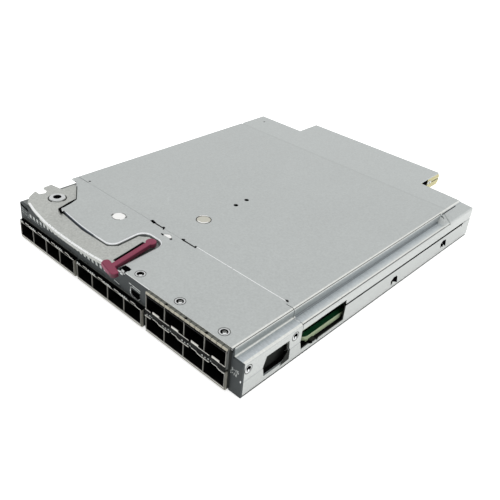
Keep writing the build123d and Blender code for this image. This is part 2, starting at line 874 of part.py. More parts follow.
def guide_block(side):
    """Alignment block beside the rear connectors, ending in two prongs with round noses."""
    inner = left + tongue_middle + side * (rear_blocks / 2 + sheet_gap)
    x0, x1 = sorted((inner, inner + side * guide_width))
    y1 = tongue_tip + guide_reach
    z1 = under_cover - sheet_gap
    z0 = z1 - guide_height
    body = block(x0, x1, rear - guide_depth, rear, main_board_top, z1)
    arm = block(x0, x1, rear - sheet, y1, z0, z1)
    ends = arm.edges().filter_by(Axis.X).group_by(Axis.Y)[-1]
    arm = fillet(ends, prong_radius)
    middle = (z0 + z1) / 2
    split = block(x0 - 1, x1 + 1, y1 - prong_length, y1 + 1, middle - prong_gap / 2, middle + prong_gap / 2)
    return body + (arm - split)


def divider_bar():
    """Printed strip in front of the port board, between the rows of the stacked ports."""
    x0 = left + group_left["right"] + gasket_side
    x1 = x0 + cage_width - 2 * gasket_side
    z0 = lower_cage_top - 0.1
    z1 = upper_cage_bottom + 0.6
    y1 = cage_front
    bar = block(x0, x1, y1 - 0.5, y1, z0, z1)
    for x in pipe_stations("right"):
        bar -= block(
            x - pipe_width / 2 - touch,
            x + pipe_width / 2 + touch,
            y1 - 1,
            y1 + 1,
            bar_pipe_z - bar_pipe_height / 2 - touch / 2,
            bar_pipe_z + bar_pipe_height / 2 + touch / 2,
        )
    return bar


def pipe_stations(name):
    """Middles of the port lights; the service port takes the place of one of them."""
    count = port_count - 1 if name == "middle" else port_count
    return [left + group_left[name] + (i + 0.5) * port_pitch for i in range(count)]


def light_pipes(name):
    """Clear bars that carry the port lights to the front, one for each port."""
    solids = []
    for x in pipe_stations(name):
        if name == "right":
            y0, y1, z, half = cage_front - 0.5, shell_front + 0.2, bar_pipe_z, bar_pipe_height / 2
        else:
            y0, y1, z, half = front - 0.1, front + 8.0, pipe_z, pipe_height / 2
        solids.append(block(x - pipe_width / 2, x + pipe_width / 2, y0, y1, z - half, z + half))
    return Compound(children=solids)


def mini_port_shell():
    """Pressed shell of the small service port."""
    shell = front_prism(mini_port_hole(), front - 0.3, front + 9.0)
    return shell - front_prism(mini_port_hole(-0.4), front - 1, front + 8.4)


def mini_port_tongue():
    """Contact tongue inside the service port."""
    z0 = port_board_top + 1.9
    x0 = service_x + 1.8
    tongue = block(x0, x0 + 4.6, front + 0.8, front + 8.4, z0, z0 + 1.2)
    return tongue


def lever_outline():
    """Plan of the ejector lever: cam lobe and hook tooth at the left, bowed grip along the
    front, wide end at the right that carries the latch."""
    top_side = [
        spot(6.2, 37.6),
        spot(6.6, 27.6),
        spot(-3.1, 25.8),
        spot(-2.3, 19.7),
        spot(2.7, 19.6),
        spot(4.6, 16.4),
        spot(3.4, 13.2),
        spot(-1.2, 13.2),
        spot(2.7, 6.6),
        spot(9.0, 1.7),
    ]
    rear_side = [
        spot(91.6, -2.4),
        spot(94.3, 1.4),
        spot(93.6, 12.0),
        spot(95.8, 29.4),
        spot(93.6, 32.8),
        spot(86.8, 33.2),
        spot(82.3, 29.0),
        spot(83.2, 14.0),
        spot(79.0, 9.2),
        spot(56.0, 8.4),
        spot(33.2, 10.8),
        spot(28.2, 12.0),
    ]
    grip = ThreePointArc(top_side[-1], spot(50.0, -4.3), rear_side[0])
    x, y = spot(*lever_pivot)
    turn = radians(47)
    lobe_middle = (x + lever_lobe_radius * cos(turn), y + lever_lobe_radius * sin(turn))
    lobe = ThreePointArc(rear_side[-1], lobe_middle, top_side[0])
    return make_face((Polyline(*top_side) + grip + Polyline(*rear_side) + lobe).edges())


def ejector_lever():
    """Sheet lever with a short grip flange folded down along its front edge."""
    outline = lever_outline()
    lever = prism(outline, lever_bottom, lever_top)
    grip_zone = block(left + grip_start, left + grip_end, front - 20, front - 0.2, 0, body_height + 5)
    skirt = outline - offset(outline, amount=-lever_thickness)
    lever += prism(skirt, lever_top - lever_flange, lever_top) & grip_zone
    x, y = spot(*lever_pivot)
    lever -= post(x, y, pivot_shaft_radius + pivot_clearance, 0, body_height + 5)
    x, y = spot(*latch_pivot)
    return lever - post(x, y, latch_pin_radius - 0.05, 0, body_height + 5)


def pivot_rivet():
    """Hollow shoulder rivet on which the lever swings."""
    x, y = spot(*lever_pivot)
    flare = lever_top + 0.06
    rivet = post(x, y, pivot_shaft_radius, recess_floor, flare)
    rivet += post(x, y, pivot_shaft_radius + rivet_flange, flare, flare + 0.6)
    rivet += post(x, y, rivet_shank, support_bottom, recess_floor)
    rivet -= post(x, y, rivet_bore, support_bottom - 1, body_height + 5)
    return rivet


def release_latch():
    """Moulded latch: round boss over its pin, straight arm, and a wide thumb head."""
    boss_x, boss_y = spot(*latch_pivot)
    head_x, head_y = spot(*latch_head)
    arm_line = Vector(head_x - boss_x, head_y - boss_y)
    angle = degrees(atan2(arm_line.Y, arm_line.X))
    middle = ((boss_x + head_x) / 2, (boss_y + head_y) / 2)
    arm = Pos(*middle) * Rot(0, 0, angle) * Rectangle(arm_line.length, latch_arm_width)
    boss = Pos(boss_x, boss_y) * Circle(latch_end_radius)
    head = Pos(head_x, head_y) * Rot(0, 0, latch_head_turn) * RectangleRounded(
        latch_head_length, latch_head_width, latch_head_width * 0.42
    )
    latch = prism(arm + boss + head, latch_bottom, latch_bottom + latch_thickness)
    latch = chamfer(latch.edges().group_by(Axis.Z)[-1], 0.35)
    return latch - post(boss_x, boss_y, latch_pin_radius + pivot_clearance, 0, latch_bottom + 2.0)


def latch_pin():
    """Pin riveted to the lever, inside the latch boss."""
    x, y = spot(*latch_pivot)
    pin = post(x, y, latch_pin_radius, lever_top, latch_bottom + 1.8)
    return pin + post(x, y, latch_pin_radius - 0.05, lever_bottom, lever_top)


def latch_keeper():
    """Bright catch at the front edge of the cover, beside the latch head."""
    x, y = spot(102.6, 0.4)
    keeper = block(x, x + 4.0, y, y + 3.6, recess_floor, recess_floor + sheet)
    keeper += block(x + 1.0, x + 3.2, y, y + 0.8, recess_floor, body_height - 0.2)
    return keeper


def cover_screw_set():
    """Countersunk screws of the front cover."""
    screw = flat_screw(cover_screw_head, cover_screw_core - 0.02, 2 * sheet)
    return Compound(children=[Pos(*spot(*s), body_height) * screw for s in cover_screws])


def side_screw_set():
    """Screws through the front cover's flange into the tray's wall."""
    screw = flat_screw(side_screw_head, side_screw_core - 0.02, 2 * joggle)
    solids = []
    for y in side_screws:
        solids.append(Pos(right, front + y, side_screw_height) * Rot(0, 90, 0) * screw)
    return Compound(children=solids)


def push_post(x, y, radius, foot, top):
    """Nylon support post seen through a hole in the cover."""
    px, py = spot(x, y)
    stem = post(px, py, radius * 0.6, foot, top - 1.0)
    return stem + post(px, py, radius, top - 1.0, top)


parts = {
    "base_tray": base_tray(),
    "front_cover": front_cover(),
    "rear_cover": rear_cover(),
    "faceplate": faceplate(),
    "lever_support_plate": lever_support(),
    "cage_left": cage(group_left["left"], lower_cage_bottom, False),
    "cage_middle": cage(group_left["middle"], lower_cage_bottom, False),
    "cage_right_lower": cage(group_left["right"], lower_cage_bottom, False),
    "cage_right_upper": cage(group_left["right"], upper_cage_bottom, True),
    "gasket_left": gasket(group_left["left"], lower_cage_bottom, False),
    "gasket_middle": gasket(group_left["middle"], lower_cage_bottom, False),
    "gasket_right_lower": gasket(group_left["right"], lower_cage_bottom, False),
    "gasket_right_upper": gasket(group_left["right"], upper_cage_bottom, True),
    "host_connectors_left": host_connectors(group_left["left"], port_board_bottom, False),
    "host_connectors_middle": host_connectors(group_left["middle"], port_board_bottom, False),
    "host_connectors_right_lower": host_connectors(group_left["right"], port_board_bottom, False),
    "host_connectors_right_upper": host_connectors(group_left["right"], port_board_top, True),
    "port_board": port_board(),
    "main_board": main_board(),
    "insulating_film": insulator(),
    "standoffs": standoffs(),
    "board_screws": board_screws(),
    "mezzanine_connectors": mezzanine_connectors(),
    "signal_chips": retimers(),
    "heat_sink": heat_sink(),
    "power_converters": power_converters(),
    "capacitors": capacitors(),
    "rear_connector_left": rear_connector(0),
    "rear_connector_centre": rear_connector(1),
    "rear_connector_right": rear_connector(2),
    "guide_block_left": guide_block(-1),
    "guide_block_right": guide_block(1),
    "port_divider_bar": divider_bar(),
    "light_pipes_left": light_pipes("left"),
    "light_pipes_middle": light_pipes("middle"),
    "light_pipes_right": light_pipes("right"),
    "service_port_shell": mini_port_shell(),
    "service_port_tongue": mini_port_tongue(),
    "ejector_lever": ejector_lever(),
    "lever_pivot_rivet": pivot_rivet(),
    "release_latch": release_latch(),
    "latch_pin": latch_pin(),
    "latch_keeper": latch_keeper(),
    "cover_screws": cover_screw_set(),
    "side_screws": side_screw_set(),
    "cover_post_front": push_post(58.5, 33.3, support_hole - 1.2, port_board_top, under_cover - 5 * touch),
    "cover_post_rear": push_post(93.7, 70.0, rear_post_radius, main_board_top, under_cover - touch),
}

os.makedirs("parts", exist_ok=True)
for name, shape in parts.items():
    export_step(shape, f"parts/{name}.step")
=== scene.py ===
import math

import bpy
import numpy as np
from mathutils import Matrix, Vector


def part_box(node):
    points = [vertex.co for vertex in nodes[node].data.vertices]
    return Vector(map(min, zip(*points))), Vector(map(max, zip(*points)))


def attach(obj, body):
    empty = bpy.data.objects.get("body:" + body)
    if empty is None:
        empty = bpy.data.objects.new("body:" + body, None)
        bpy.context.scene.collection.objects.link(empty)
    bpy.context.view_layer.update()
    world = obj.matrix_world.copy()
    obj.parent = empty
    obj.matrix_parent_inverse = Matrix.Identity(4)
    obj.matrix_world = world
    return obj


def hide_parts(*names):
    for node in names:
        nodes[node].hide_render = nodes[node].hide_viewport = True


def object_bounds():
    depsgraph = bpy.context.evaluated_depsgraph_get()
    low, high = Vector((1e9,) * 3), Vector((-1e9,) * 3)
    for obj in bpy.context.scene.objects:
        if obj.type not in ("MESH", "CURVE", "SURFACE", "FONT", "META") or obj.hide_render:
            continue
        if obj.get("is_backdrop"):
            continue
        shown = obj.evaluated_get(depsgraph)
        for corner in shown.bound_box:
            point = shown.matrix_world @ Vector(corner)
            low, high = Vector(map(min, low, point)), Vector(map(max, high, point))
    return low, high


# The module lies on its tray. X runs across it, Y from the port face back to the rear
# connectors, Z up; metres. New pieces are given in millimetres, counted from the module's
# left side (LEFT), from its faceplate (FRONT) and from the underside.

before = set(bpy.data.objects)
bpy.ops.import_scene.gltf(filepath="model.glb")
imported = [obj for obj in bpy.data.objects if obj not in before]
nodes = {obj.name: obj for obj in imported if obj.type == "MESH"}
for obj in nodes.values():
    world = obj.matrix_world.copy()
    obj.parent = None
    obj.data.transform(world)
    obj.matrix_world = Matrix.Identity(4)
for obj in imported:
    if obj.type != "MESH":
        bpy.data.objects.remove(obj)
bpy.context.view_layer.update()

MM = 0.001
LEFT = -96.5
FRONT = -115.0
TOP = 26.1
SHOULDER = 186.3
PORT_PITCH = 14.25
CAGE_WALL = 0.4
GROUPS = {"left": 5.3, "middle": 65.8, "right": 127.1}


def from_left(x):
    """Place across the module, from millimetres to row-frame metres."""
    return (LEFT + x) * MM


def from_face(y):
    """Place behind the faceplate, from millimetres to row-frame metres."""
    return (FRONT + y) * MM


# Node groups shared by the finishes


def new_group(name, inputs, outputs):
    """Empty shader group with the named sockets, given as (name, kind, default)."""
    group = bpy.data.node_groups.new(name, "ShaderNodeTree")
    for label, kind, value in inputs:
        socket = group.interface.new_socket(label, in_out="INPUT", socket_type=f"NodeSocket{kind}")
        if value is not None:
            socket.default_value = value
    for label, kind in outputs:
        group.interface.new_socket(label, in_out="OUTPUT", socket_type=f"NodeSocket{kind}")
    return group, group.nodes.new("NodeGroupInput"), group.nodes.new("NodeGroupOutput")


def math_node(tree, operation, a, b=None, clamp=False):
    node = tree.nodes.new("ShaderNodeMath")
    node.operation = operation
    node.use_clamp = clamp
    for socket, value in zip(node.inputs, (a, b)):
        if value is None:
            continue
        if isinstance(value, (int, float)):
            socket.default_value = value
        else:
            tree.links.new(value, socket)
    return node.outputs[0]


def noise(tree, vector, scale, detail=3.0, rough=0.55, stretch=None):
    """Noise height at a scale per metre; stretch multiplies the coordinates first."""
    if stretch is not None:
        mapping = tree.nodes.new("ShaderNodeMapping")
        mapping.inputs["Scale"].default_value = stretch
        tree.links.new(vector, mapping.inputs["Vector"])
        vector = mapping.outputs[0]
    node = tree.nodes.new("ShaderNodeTexNoise")
    node.inputs["Detail"].default_value = detail
    node.inputs["Roughness"].default_value = rough
    if isinstance(scale, (int, float)):
        node.inputs["Scale"].default_value = scale
    else:
        tree.links.new(scale, node.inputs["Scale"])
    tree.links.new(vector, node.inputs["Vector"])
    return node.outputs["Fac"]


def centred(tree, value, amount):
    """(value - 0.5) times amount."""
    return math_node(tree, "MULTIPLY", math_node(tree, "SUBTRACT", value, 0.5), amount)


def group_zinc_mottle():
    """Zinc skin: fine crystal speckle over a slow cloud; both shift tone and gloss."""
    group, put, out = new_group(
        "zinc mottle",
        [
            ("Vector", "Vector", None),
            ("Speckle", "Float", 900.0),
            ("Cloud", "Float", 28.0),
            ("Depth", "Float", 1.0),
        ],
        [("Tone", "Float"), ("Gloss", "Float"), ("Height", "Float")],
    )
    vector = put.outputs["Vector"]
    speckle = noise(group, vector, put.outputs["Speckle"], 2.0, 0.6)
    cloud = noise(group, vector, put.outputs["Cloud"], 4.0, 0.55)
    fine = centred(group, speckle, 0.36)
    slow = centred(group, cloud, 0.12)
    both = math_node(group, "ADD", fine, slow)
    tone = math_node(group, "MULTIPLY", both, put.outputs["Depth"])
    group.links.new(math_node(group, "ADD", tone, 1.0), out.inputs["Tone"])
    gloss = math_node(group, "ADD", centred(group, speckle, 0.16), centred(group, cloud, 0.14))
    group.links.new(gloss, out.inputs["Gloss"])
    group.links.new(both, out.inputs["Height"])
    return group


def group_rolling_marks():
    """Long faint streaks along one axis, as rolled and folded sheet shows."""
    group, put, out = new_group(
        "rolling marks",
        [("Vector", "Vector", None), ("Amount", "Float", 0.05)],
        [("Tone", "Float"), ("Height", "Float")],
    )
    streak = noise(group, put.outputs["Vector"], 1400.0, 2.0, 0.6, (1.0, 0.02, 1.0))
    tone = math_node(group, "MULTIPLY", math_node(group, "SUBTRACT", streak, 0.5), put.outputs["Amount"])
    group.links.new(math_node(group, "ADD", tone, 1.0), out.inputs["Tone"])
    group.links.new(streak, out.inputs["Height"])
    return group


def group_scratches():
    """Sparse short scratches: thin bright ridges of a stretched, warped noise."""
    group, put, out = new_group(
        "handling scratches",
        [("Vector", "Vector", None), ("Scale", "Float", 60.0)],
        [("Mask", "Float")],
    )
    ridge = noise(group, put.outputs["Vector"], put.outputs["Scale"], 2.0, 0.4, (1.0, 0.25, 1.0))
    far = math_node(group, "ABSOLUTE", math_node(group, "SUBTRACT", ridge, 0.5))
    line = math_node(group, "SUBTRACT", 1.0, math_node(group, "MULTIPLY", far, 160.0), True)
    where = noise(group, put.outputs["Vector"], 35.0, 2.0, 0.5)
    sparse = math_node(group, "MULTIPLY", math_node(group, "SUBTRACT", where, 0.62), 6.0, True)
    group.links.new(math_node(group, "MULTIPLY", line, sparse), out.inputs["Mask"])
    return group


ZINC_MOTTLE = group_zinc_mottle()
ROLLING = group_rolling_marks()
SCRATCHES = group_scratches()


def srgb(r, g, b):
    """Colour written in screen values 0 to 255, as the linear colour a shader takes."""
    out = []
    for value in (r, g, b):
        c = value / 255
        out.append(c / 12.92 if c <= 0.04045 else ((c + 0.055) / 1.055) ** 2.4)
    return (*out, 1.0)


def material(name):
    """New node material: its tree, its Principled shader and its object coordinates."""
    made = bpy.data.materials.new(name)
    made.use_nodes = True
    tree = made.node_tree
    shader = tree.nodes["Principled BSDF"]
    where = tree.nodes.new("ShaderNodeTexCoord").outputs["Object"]
    return made, tree, shader, where


def place(tree, group, vector, **values):
    node = tree.nodes.new("ShaderNodeGroup")
    node.node_tree = group
    tree.links.new(vector, node.inputs["Vector"])
    for key, value in values.items():
        node.inputs[key].default_value = value
    return node


def tint(tree, colour, factor):
    """A colour multiplied by a changing factor."""
    node = tree.nodes.new("ShaderNodeVectorMath")
    node.operation = "SCALE"
    if isinstance(colour, tuple):
        node.inputs[0].default_value = colour[:3]
    else:
        tree.links.new(colour, node.inputs[0])
    tree.links.new(factor, node.inputs["Scale"])
    return node.outputs[0]


def mix_colour(tree, factor, a, b):
    node = tree.nodes.new("ShaderNodeMix")
    node.data_type = "RGBA"
    tree.links.new(factor, node.inputs["Factor"])
    for socket, value in ((node.inputs[6], a), (node.inputs[7], b)):
        if isinstance(value, tuple):
            socket.default_value = value
        else:
            tree.links.new(value, socket)
    return node.outputs[2]


def bump(tree, shader, height, strength, distance):
    node = tree.nodes.new("ShaderNodeBump")
    node.inputs["Strength"].default_value = strength
    node.inputs["Distance"].default_value = distance
    tree.links.new(height, node.inputs["Height"])
    tree.links.new(node.outputs[0], shader.inputs["Normal"])


def band(tree, value, low, high, soft):
    """1 between low and high, falling to 0 over the soft width outside them."""
    up = math_node(tree, "MULTIPLY", math_node(tree, "SUBTRACT", value, low - soft), 1 / soft, True)
    down = math_node(tree, "MULTIPLY", math_node(tree, "SUBTRACT", high + soft, value), 1 / soft, True)
    return math_node(tree, "MULTIPLY", up, down)


def over(tree, value, edge, soft):
    """0 below an edge, 1 above it, rising over the soft width; all in metres or plain numbers."""
    node = tree.nodes.new("ShaderNodeMath")
    node.operation = "MULTIPLY_ADD"
    node.use_clamp = True
    tree.links.new(value, node.inputs[0])
    node.inputs[1].default_value = 1 / soft
    node.inputs[2].default_value = 0.5 - edge / soft
    return node.outputs[0]


def under(tree, value, edge, soft):
    """1 below an edge, 0 above it."""
    return over(tree, value, edge, -soft)


def inverse(tree, mask):
    return math_node(tree, "SUBTRACT", 1.0, mask)


def product(tree, *masks):
    result = masks[0]
    for mask in masks[1:]:
        result = math_node(tree, "MULTIPLY", result, mask)
    return result


def axes_of(tree, vector):
    node = tree.nodes.new("ShaderNodeSeparateXYZ")
    tree.links.new(vector, node.inputs[0])
    return node.outputs


def group_cover_zones():
    """Where a point lies on the folded shell: inside the skin, on the low right wall, on the
    step up to the cover, on the shoulder, in a fold, in the groove at the step's foot, on
    the rim of the lever recess, which gets painted shade, or on its bead, which gets a
    painted highlight. Each mask is a product of steps over the position and over the facing."""
    names = ("Inside", "Wall", "Step", "Shoulder", "Fold", "Rim", "Bead", "Groove")
    group, put, out = new_group(
        "cover zones",
        [("Vector", "Vector", None), ("Facing", "Vector", None)],
        [(name, "Float") for name in names],
    )
    x, y, z = axes_of(group, put.outputs["Vector"])
    nx, ny, nz = axes_of(group, put.outputs["Facing"])
    step_x = from_left(SHOULDER)
    side_x = -LEFT * MM

    flange_shift = math_node(
        group, "MULTIPLY", inverse(group, over(group, y, from_face(43.9), 0.0004)), 0.00115
    )
    in_low = product(
        group,
        over(group, x, step_x, 0.0002),
        under(group, z, 0.02025, 0.0001),
        under(group, math_node(group, "ADD", x, flange_shift), side_x - 0.0003, 0.0001),
    )
    in_high = product(
        group,
        under(group, x, step_x - 0.00035, 0.0001),
        under(group, z, (TOP - 0.35) * MM, 0.0001),
    )
    recess = product(
        group,
        under(group, x, from_left(103.5), 0.0002),
        under(group, y, from_face(37.0), 0.0002),
        over(group, z, 0.0236, 0.0002),
    )
    bounds = product(
        group,
        over(group, x, from_left(3.2), 0.0001),
        over(group, z, 0.00035, 0.0001),
        under(group, y, from_face(224.1), 0.0001),
        inverse(group, recess),
    )
    inside = product(group, math_node(group, "MAXIMUM", in_low, in_high), bounds)

    wall = product(group, over(group, nx, 0.6, 0.3), under(group, z, 0.0203, 0.0006))
    step = product(
        group,
        over(group, nx, 0.45, 0.4),
        over(group, z, 0.0209, 0.0005),
        under(group, x, step_x + 0.0009, 0.0003),
    )
    shoulder = product(
        group,
        over(group, nz, 0.7, 0.3),
        over(group, x, step_x + 0.0005, 0.0004),
        under(group, z, 0.0212, 0.0004),
    )

    top_fold = product(
        group,
        band(group, x, step_x - 0.0013, step_x - 0.0002, 0.0003),
        over(group, z, 0.0252, 0.0004),
    )
    foot = product(
        group,
        band(group, x, step_x + 0.0001, step_x + 0.0006, 0.0003),
        under(group, z, 0.0214, 0.0004),
        over(group, z, 0.0203, 0.0002),
    )
    rear = over(group, y, from_face(45.0), 0.0005)
    front_foot = product(group, foot, inverse(group, rear))
    edge = product(
        group,
        band(group, x, side_x - 0.0013, side_x - 0.0004, 0.0003),
        over(group, z, 0.0198, 0.0003),
        under(group, z, 0.0208, 0.0002),
    )
    fold = math_node(group, "MAXIMUM", top_fold, math_node(group, "MAXIMUM", front_foot, edge))

    in_rim = product(
        group,
        recess,
        over(group, x, from_left(33), 0.001),
        under(group, x, from_left(101.5), 0.0005),
    )
    rim = product(group, under(group, nz, 0.62, 0.2), under(group, ny, -0.2, 0.4), in_rim)
    front_run = under(group, x, from_left(67.0), 0.004)
    crest = product(group, band(group, nz, 0.7, 0.9, 0.06), in_rim)
    slope = product(group, band(group, nz, 0.15, 0.9, 0.06), in_rim, inverse(group, front_run))
    masks = {
        "Inside": inside,
        "Wall": wall,
        "Step": step,
        "Shoulder": shoulder,
        "Fold": fold,
        "Rim": product(group, rim, front_run),
        "Bead": math_node(group, "MAXIMUM", crest, slope),
        "Groove": product(group, foot, rear),
    }
    for name, mask in masks.items():
        group.links.new(mask, out.inputs[name])
    return group


COVER_ZONES = group_cover_zones()


def facing_of(tree):
    """Direction the surface faces, in world space."""
    return tree.nodes.new("ShaderNodeNewGeometry").outputs["Normal"]


def zinc_sheet(name, colour, metal=0.75, rough=0.42, depth=1.0, streak=0.05, zones=False):
    """Galvanised sheet: mottled, faintly streaked, with a few handling scratches. On the folded
    shell, light and shade are painted into the colour: a lighter side wall and a darker step,
    a bluish painted reflection on the shoulder, painted highlights on the folds and the
    recess bead, painted shade on the rim, at the step's foot and along the crease, and black
    painted shade inside."""
    made, tree, shader, where = material(name)
    mottle = place(tree, ZINC_MOTTLE, where, Depth=depth)
    rolled = place(tree, ROLLING, where, Amount=streak)
    scratch = place(tree, SCRATCHES, where)
    tone = math_node(tree, "MULTIPLY", mottle.outputs["Tone"], rolled.outputs["Tone"])
    tone = math_node(tree, "ADD", tone, math_node(tree, "MULTIPLY", scratch.outputs["Mask"], 0.10))
    base = colour
    if zones:
        zone = place(tree, COVER_ZONES, where)
        tree.links.new(facing_of(tree), zone.inputs["Facing"])
        x, y, z = axes_of(tree, where)
        # Lighter colour on the low side wall: painted light.
        base = mix_colour(tree, zone.outputs["Wall"], colour, srgb(190, 193, 191))
        # Darker, patchy colour on the step up to the cover, less dark towards the rear: painted shade.
        patch = noise(tree, where, 22.0, 2.0, 0.5)
        step = mix_colour(tree, patch, srgb(140, 146, 145), srgb(176, 181, 180))
        step = mix_colour(tree, over(tree, y, from_face(70.0), 0.04), step, srgb(172, 177, 178))
        base = mix_colour(tree, zone.outputs["Step"], base, step)
        # A darker line along the crease and a lighter sheet behind it: painted shade in the bend and
        # painted light on the rear strip.
        crease = band(tree, y, from_face(202.6), from_face(203.6), 0.0008)
        high = over(tree, z, 0.0255, 0.0005)
        fold = math_node(tree, "MULTIPLY", product(tree, crease, high), -0.06)
        lift = math_node(tree, "MULTIPLY", over(tree, y, from_face(203.5), 0.002), 0.03)
        tone = math_node(tree, "ADD", tone, math_node(tree, "ADD", fold, lift))
        # Shoulder: fine cross streaks in a bluish tone that turns lighter outwards at the rear; the bluish
        # tone is a painted reflection.
        cross = noise(tree, where, 1500.0, 2.0, 0.6, (0.15, 1.0, 1.0))
        cool = mix_colour(tree, cross, srgb(174, 181, 185), srgb(212, 218, 221))
        rear = over(tree, y, from_face(50.0), 0.01)
        outward = product(tree, over(tree, x, from_left(190.4), 0.003), rear)
        cool = mix_colour(tree, outward, cool, srgb(208, 213, 212))
        # Painted shade at the step's foot and on the recess rim, painted highlights on the bead and the
        # folds, black painted shade inside the shell.
        for mask, painted in (
            ("Shoulder", cool),
            ("Groove", srgb(132, 138, 141)),
            ("Rim", srgb(124, 131, 142)),
            ("Bead", srgb(238, 240, 242)),
            ("Fold", srgb(222, 224, 220)),
            ("Inside", srgb(8, 8, 8)),
        ):
            base = mix_colour(tree, zone.outputs[mask], base, painted)
        bare = math_node(tree, "MULTIPLY", inverse(tree, zone.outputs["Inside"]), metal)
        tree.links.new(bare, shader.inputs["Metallic"])
    else:
        shader.inputs["Metallic"].default_value = metal
    tree.links.new(tint(tree, base, tone), shader.inputs["Base Color"])
    tree.links.new(math_node(tree, "ADD", mottle.outputs["Gloss"], rough, True), shader.inputs["Roughness"])
    bump(tree, shader, mottle.outputs["Height"], 0.25, 0.00006)
    return made


def port_sheet(name, rim):
    """Tinned port sheet: bright where it ends at the mouth and on the latch tabs; from there
    inwards, and along its top, painted shade turns it black."""
    made, tree, shader, where = material(name)
    mottle = place(tree, ZINC_MOTTLE, where, Depth=0.8)
    y, z = axes_of(tree, where)[1:3]
    ny = axes_of(tree, facing_of(tree))[1]
    # Painted shade: black past the mouth plane and along the top, except on the latch tabs.
    deep = over(tree, y, from_face(-2.15), 0.00012)
    tab = product(
        tree,
        under(tree, ny, -0.6, 0.2),
        under(tree, y, from_face(-1.2), 0.0001),
        band(tree, z, 0.0141, 0.0155, 0.0001),
    )
    high = over(tree, z, 0.0232, 0.0001)
    dark = math_node(tree, "MAXIMUM", math_node(tree, "SUBTRACT", deep, tab, True), high)
    colour = mix_colour(tree, dark, tint(tree, rim, mottle.outputs["Tone"]), srgb(5, 5, 5))
    tree.links.new(colour, shader.inputs["Base Color"])
    shader.inputs["Metallic"].default_value = 0.2
    tree.links.new(math_node(tree, "ADD", mottle.outputs["Gloss"], 0.5, True), shader.inputs["Roughness"])
    shader.inputs["Specular IOR Level"].default_value = 0.2
    bump(tree, shader, mottle.outputs["Height"], 0.2, 0.00005)
    return made


def uneven_gloss(tree, shader, slow, rough):
    """Roughness that follows a slow noise."""
    gloss = math_node(tree, "ADD", centred(tree, slow, 0.2), rough, True)
    tree.links.new(gloss, shader.inputs["Roughness"])


def two_facings(name, top, side, rough=0.45, edge=0.6):
    """Moulding that shows one tone on the faces that look up and another on the rest."""
    made, tree, shader, where = material(name)
    upward = axes_of(tree, facing_of(tree))[2]
    mask = over(tree, upward, edge, 0.25)
    fine = noise(tree, where, 1800.0, 2.0, 0.6)
    slow = noise(tree, where, 70.0, 3.0, 0.5)
    tone = math_node(tree, "ADD", centred(tree, fine, 0.08), centred(tree, slow, 0.14))
    colour = mix_colour(tree, mask, side, top)
    tree.links.new(tint(tree, colour, math_node(tree, "ADD", tone, 1.0)), shader.inputs["Base Color"])
    uneven_gloss(tree, shader, slow, rough)
    bump(tree, shader, fine, 0.2, 0.00004)
    return made


def moulded(name, colour, rough=0.5, grain=0.05, scale=1800.0, shine=0.4):
    """Even coat or moulding: fine grain and slow unevenness of tone and gloss."""
    made, tree, shader, where = material(name)
    fine = noise(tree, where, scale, 2.0, 0.6)
    slow = noise(tree, where, 60.0, 3.0, 0.5)
    tone = math_node(tree, "ADD", centred(tree, fine, grain), centred(tree, slow, grain * 1.6))
    tree.links.new(tint(tree, colour, math_node(tree, "ADD", tone, 1.0)), shader.inputs["Base Color"])
    uneven_gloss(tree, shader, slow, rough)
    shader.inputs["Specular IOR Level"].default_value = shine
    bump(tree, shader, fine, 0.2, 0.00004)
    return made


def matt_paint(name, colour, rough=0.6, shine=0.3):
    """Powder paint with an orange-peel skin and slight rub marks."""
    made, tree, shader, where = material(name)
    peel = noise(tree, where, 2600.0, 2.0, 0.5)
    slow = noise(tree, where, 45.0, 4.0, 0.6)
    rub = place(tree, SCRATCHES, where, Scale=90.0)
    tone = math_node(tree, "ADD", centred(tree, peel, 0.18), centred(tree, slow, 0.16))
    rubbed = math_node(tree, "MULTIPLY", rub.outputs["Mask"], 0.5)
    tone = math_node(tree, "ADD", math_node(tree, "ADD", tone, 1.0), rubbed)
    tree.links.new(tint(tree, colour, tone), shader.inputs["Base Color"])
    uneven_gloss(tree, shader, slow, rough)
    shader.inputs["Specular IOR Level"].default_value = shine
    bump(tree, shader, peel, 0.3, 0.00005)
    return made


def solder_resist(name):
    """Glass laminate board: green resist on both faces, pale woven edge between them."""
    made, tree, shader, where = material(name)
    up = math_node(tree, "ABSOLUTE", axes_of(tree, facing_of(tree))[2])
    face = math_node(tree, "GREATER_THAN", up, 0.6)
    tracks = noise(tree, where, 420.0, 2.0, 0.4, (1.0, 3.0, 1.0))
    lines = math_node(tree, "ADD", centred(tree, tracks, 0.7), 1.0)
    green = tint(tree, srgb(24, 78, 46), lines)
    weave = noise(tree, where, 1500.0, 1.0, 0.5, (1.0, 1.0, 4.0))
    edge = tint(tree, srgb(188, 203, 168), math_node(tree, "ADD", centred(tree, weave, 0.25), 1.0))
    tree.links.new(mix_colour(tree, face, edge, green), shader.inputs["Base Color"])
    shader.inputs["Roughness"].default_value = 0.38
    bump(tree, shader, tracks, 0.2, 0.00004)
    return made


ZINC = zinc_sheet("galvanised cover steel", srgb(184, 188, 187), zones=True)
ZINC_TRAY = zinc_sheet("galvanised tray steel", srgb(200, 203, 201), rough=0.5, depth=0.7, zones=True)
SUPPORT = zinc_sheet("lever support steel", srgb(120, 123, 122), rough=0.5)
GASKET = zinc_sheet("gasket spring metal", srgb(150, 148, 138), metal=0.4, rough=0.5, depth=1.6)
BRIGHT = zinc_sheet("bright fastener zinc", srgb(205, 207, 207), metal=0.8, rough=0.3, depth=0.6)
# Near white, mostly for painted highlights on edges, bends, spots and screw glints; also the keeper tab and
# the faceplate corner dots.
WHITE_TRIM_AND_HIGHLIGHT = zinc_sheet("white trim and painted highlight", srgb(238, 240, 240), metal=0.5, rough=0.3, depth=0.3)
GROOVE = moulded("shaded groove", srgb(52, 54, 52), 0.8, 0.3, shine=0.05)
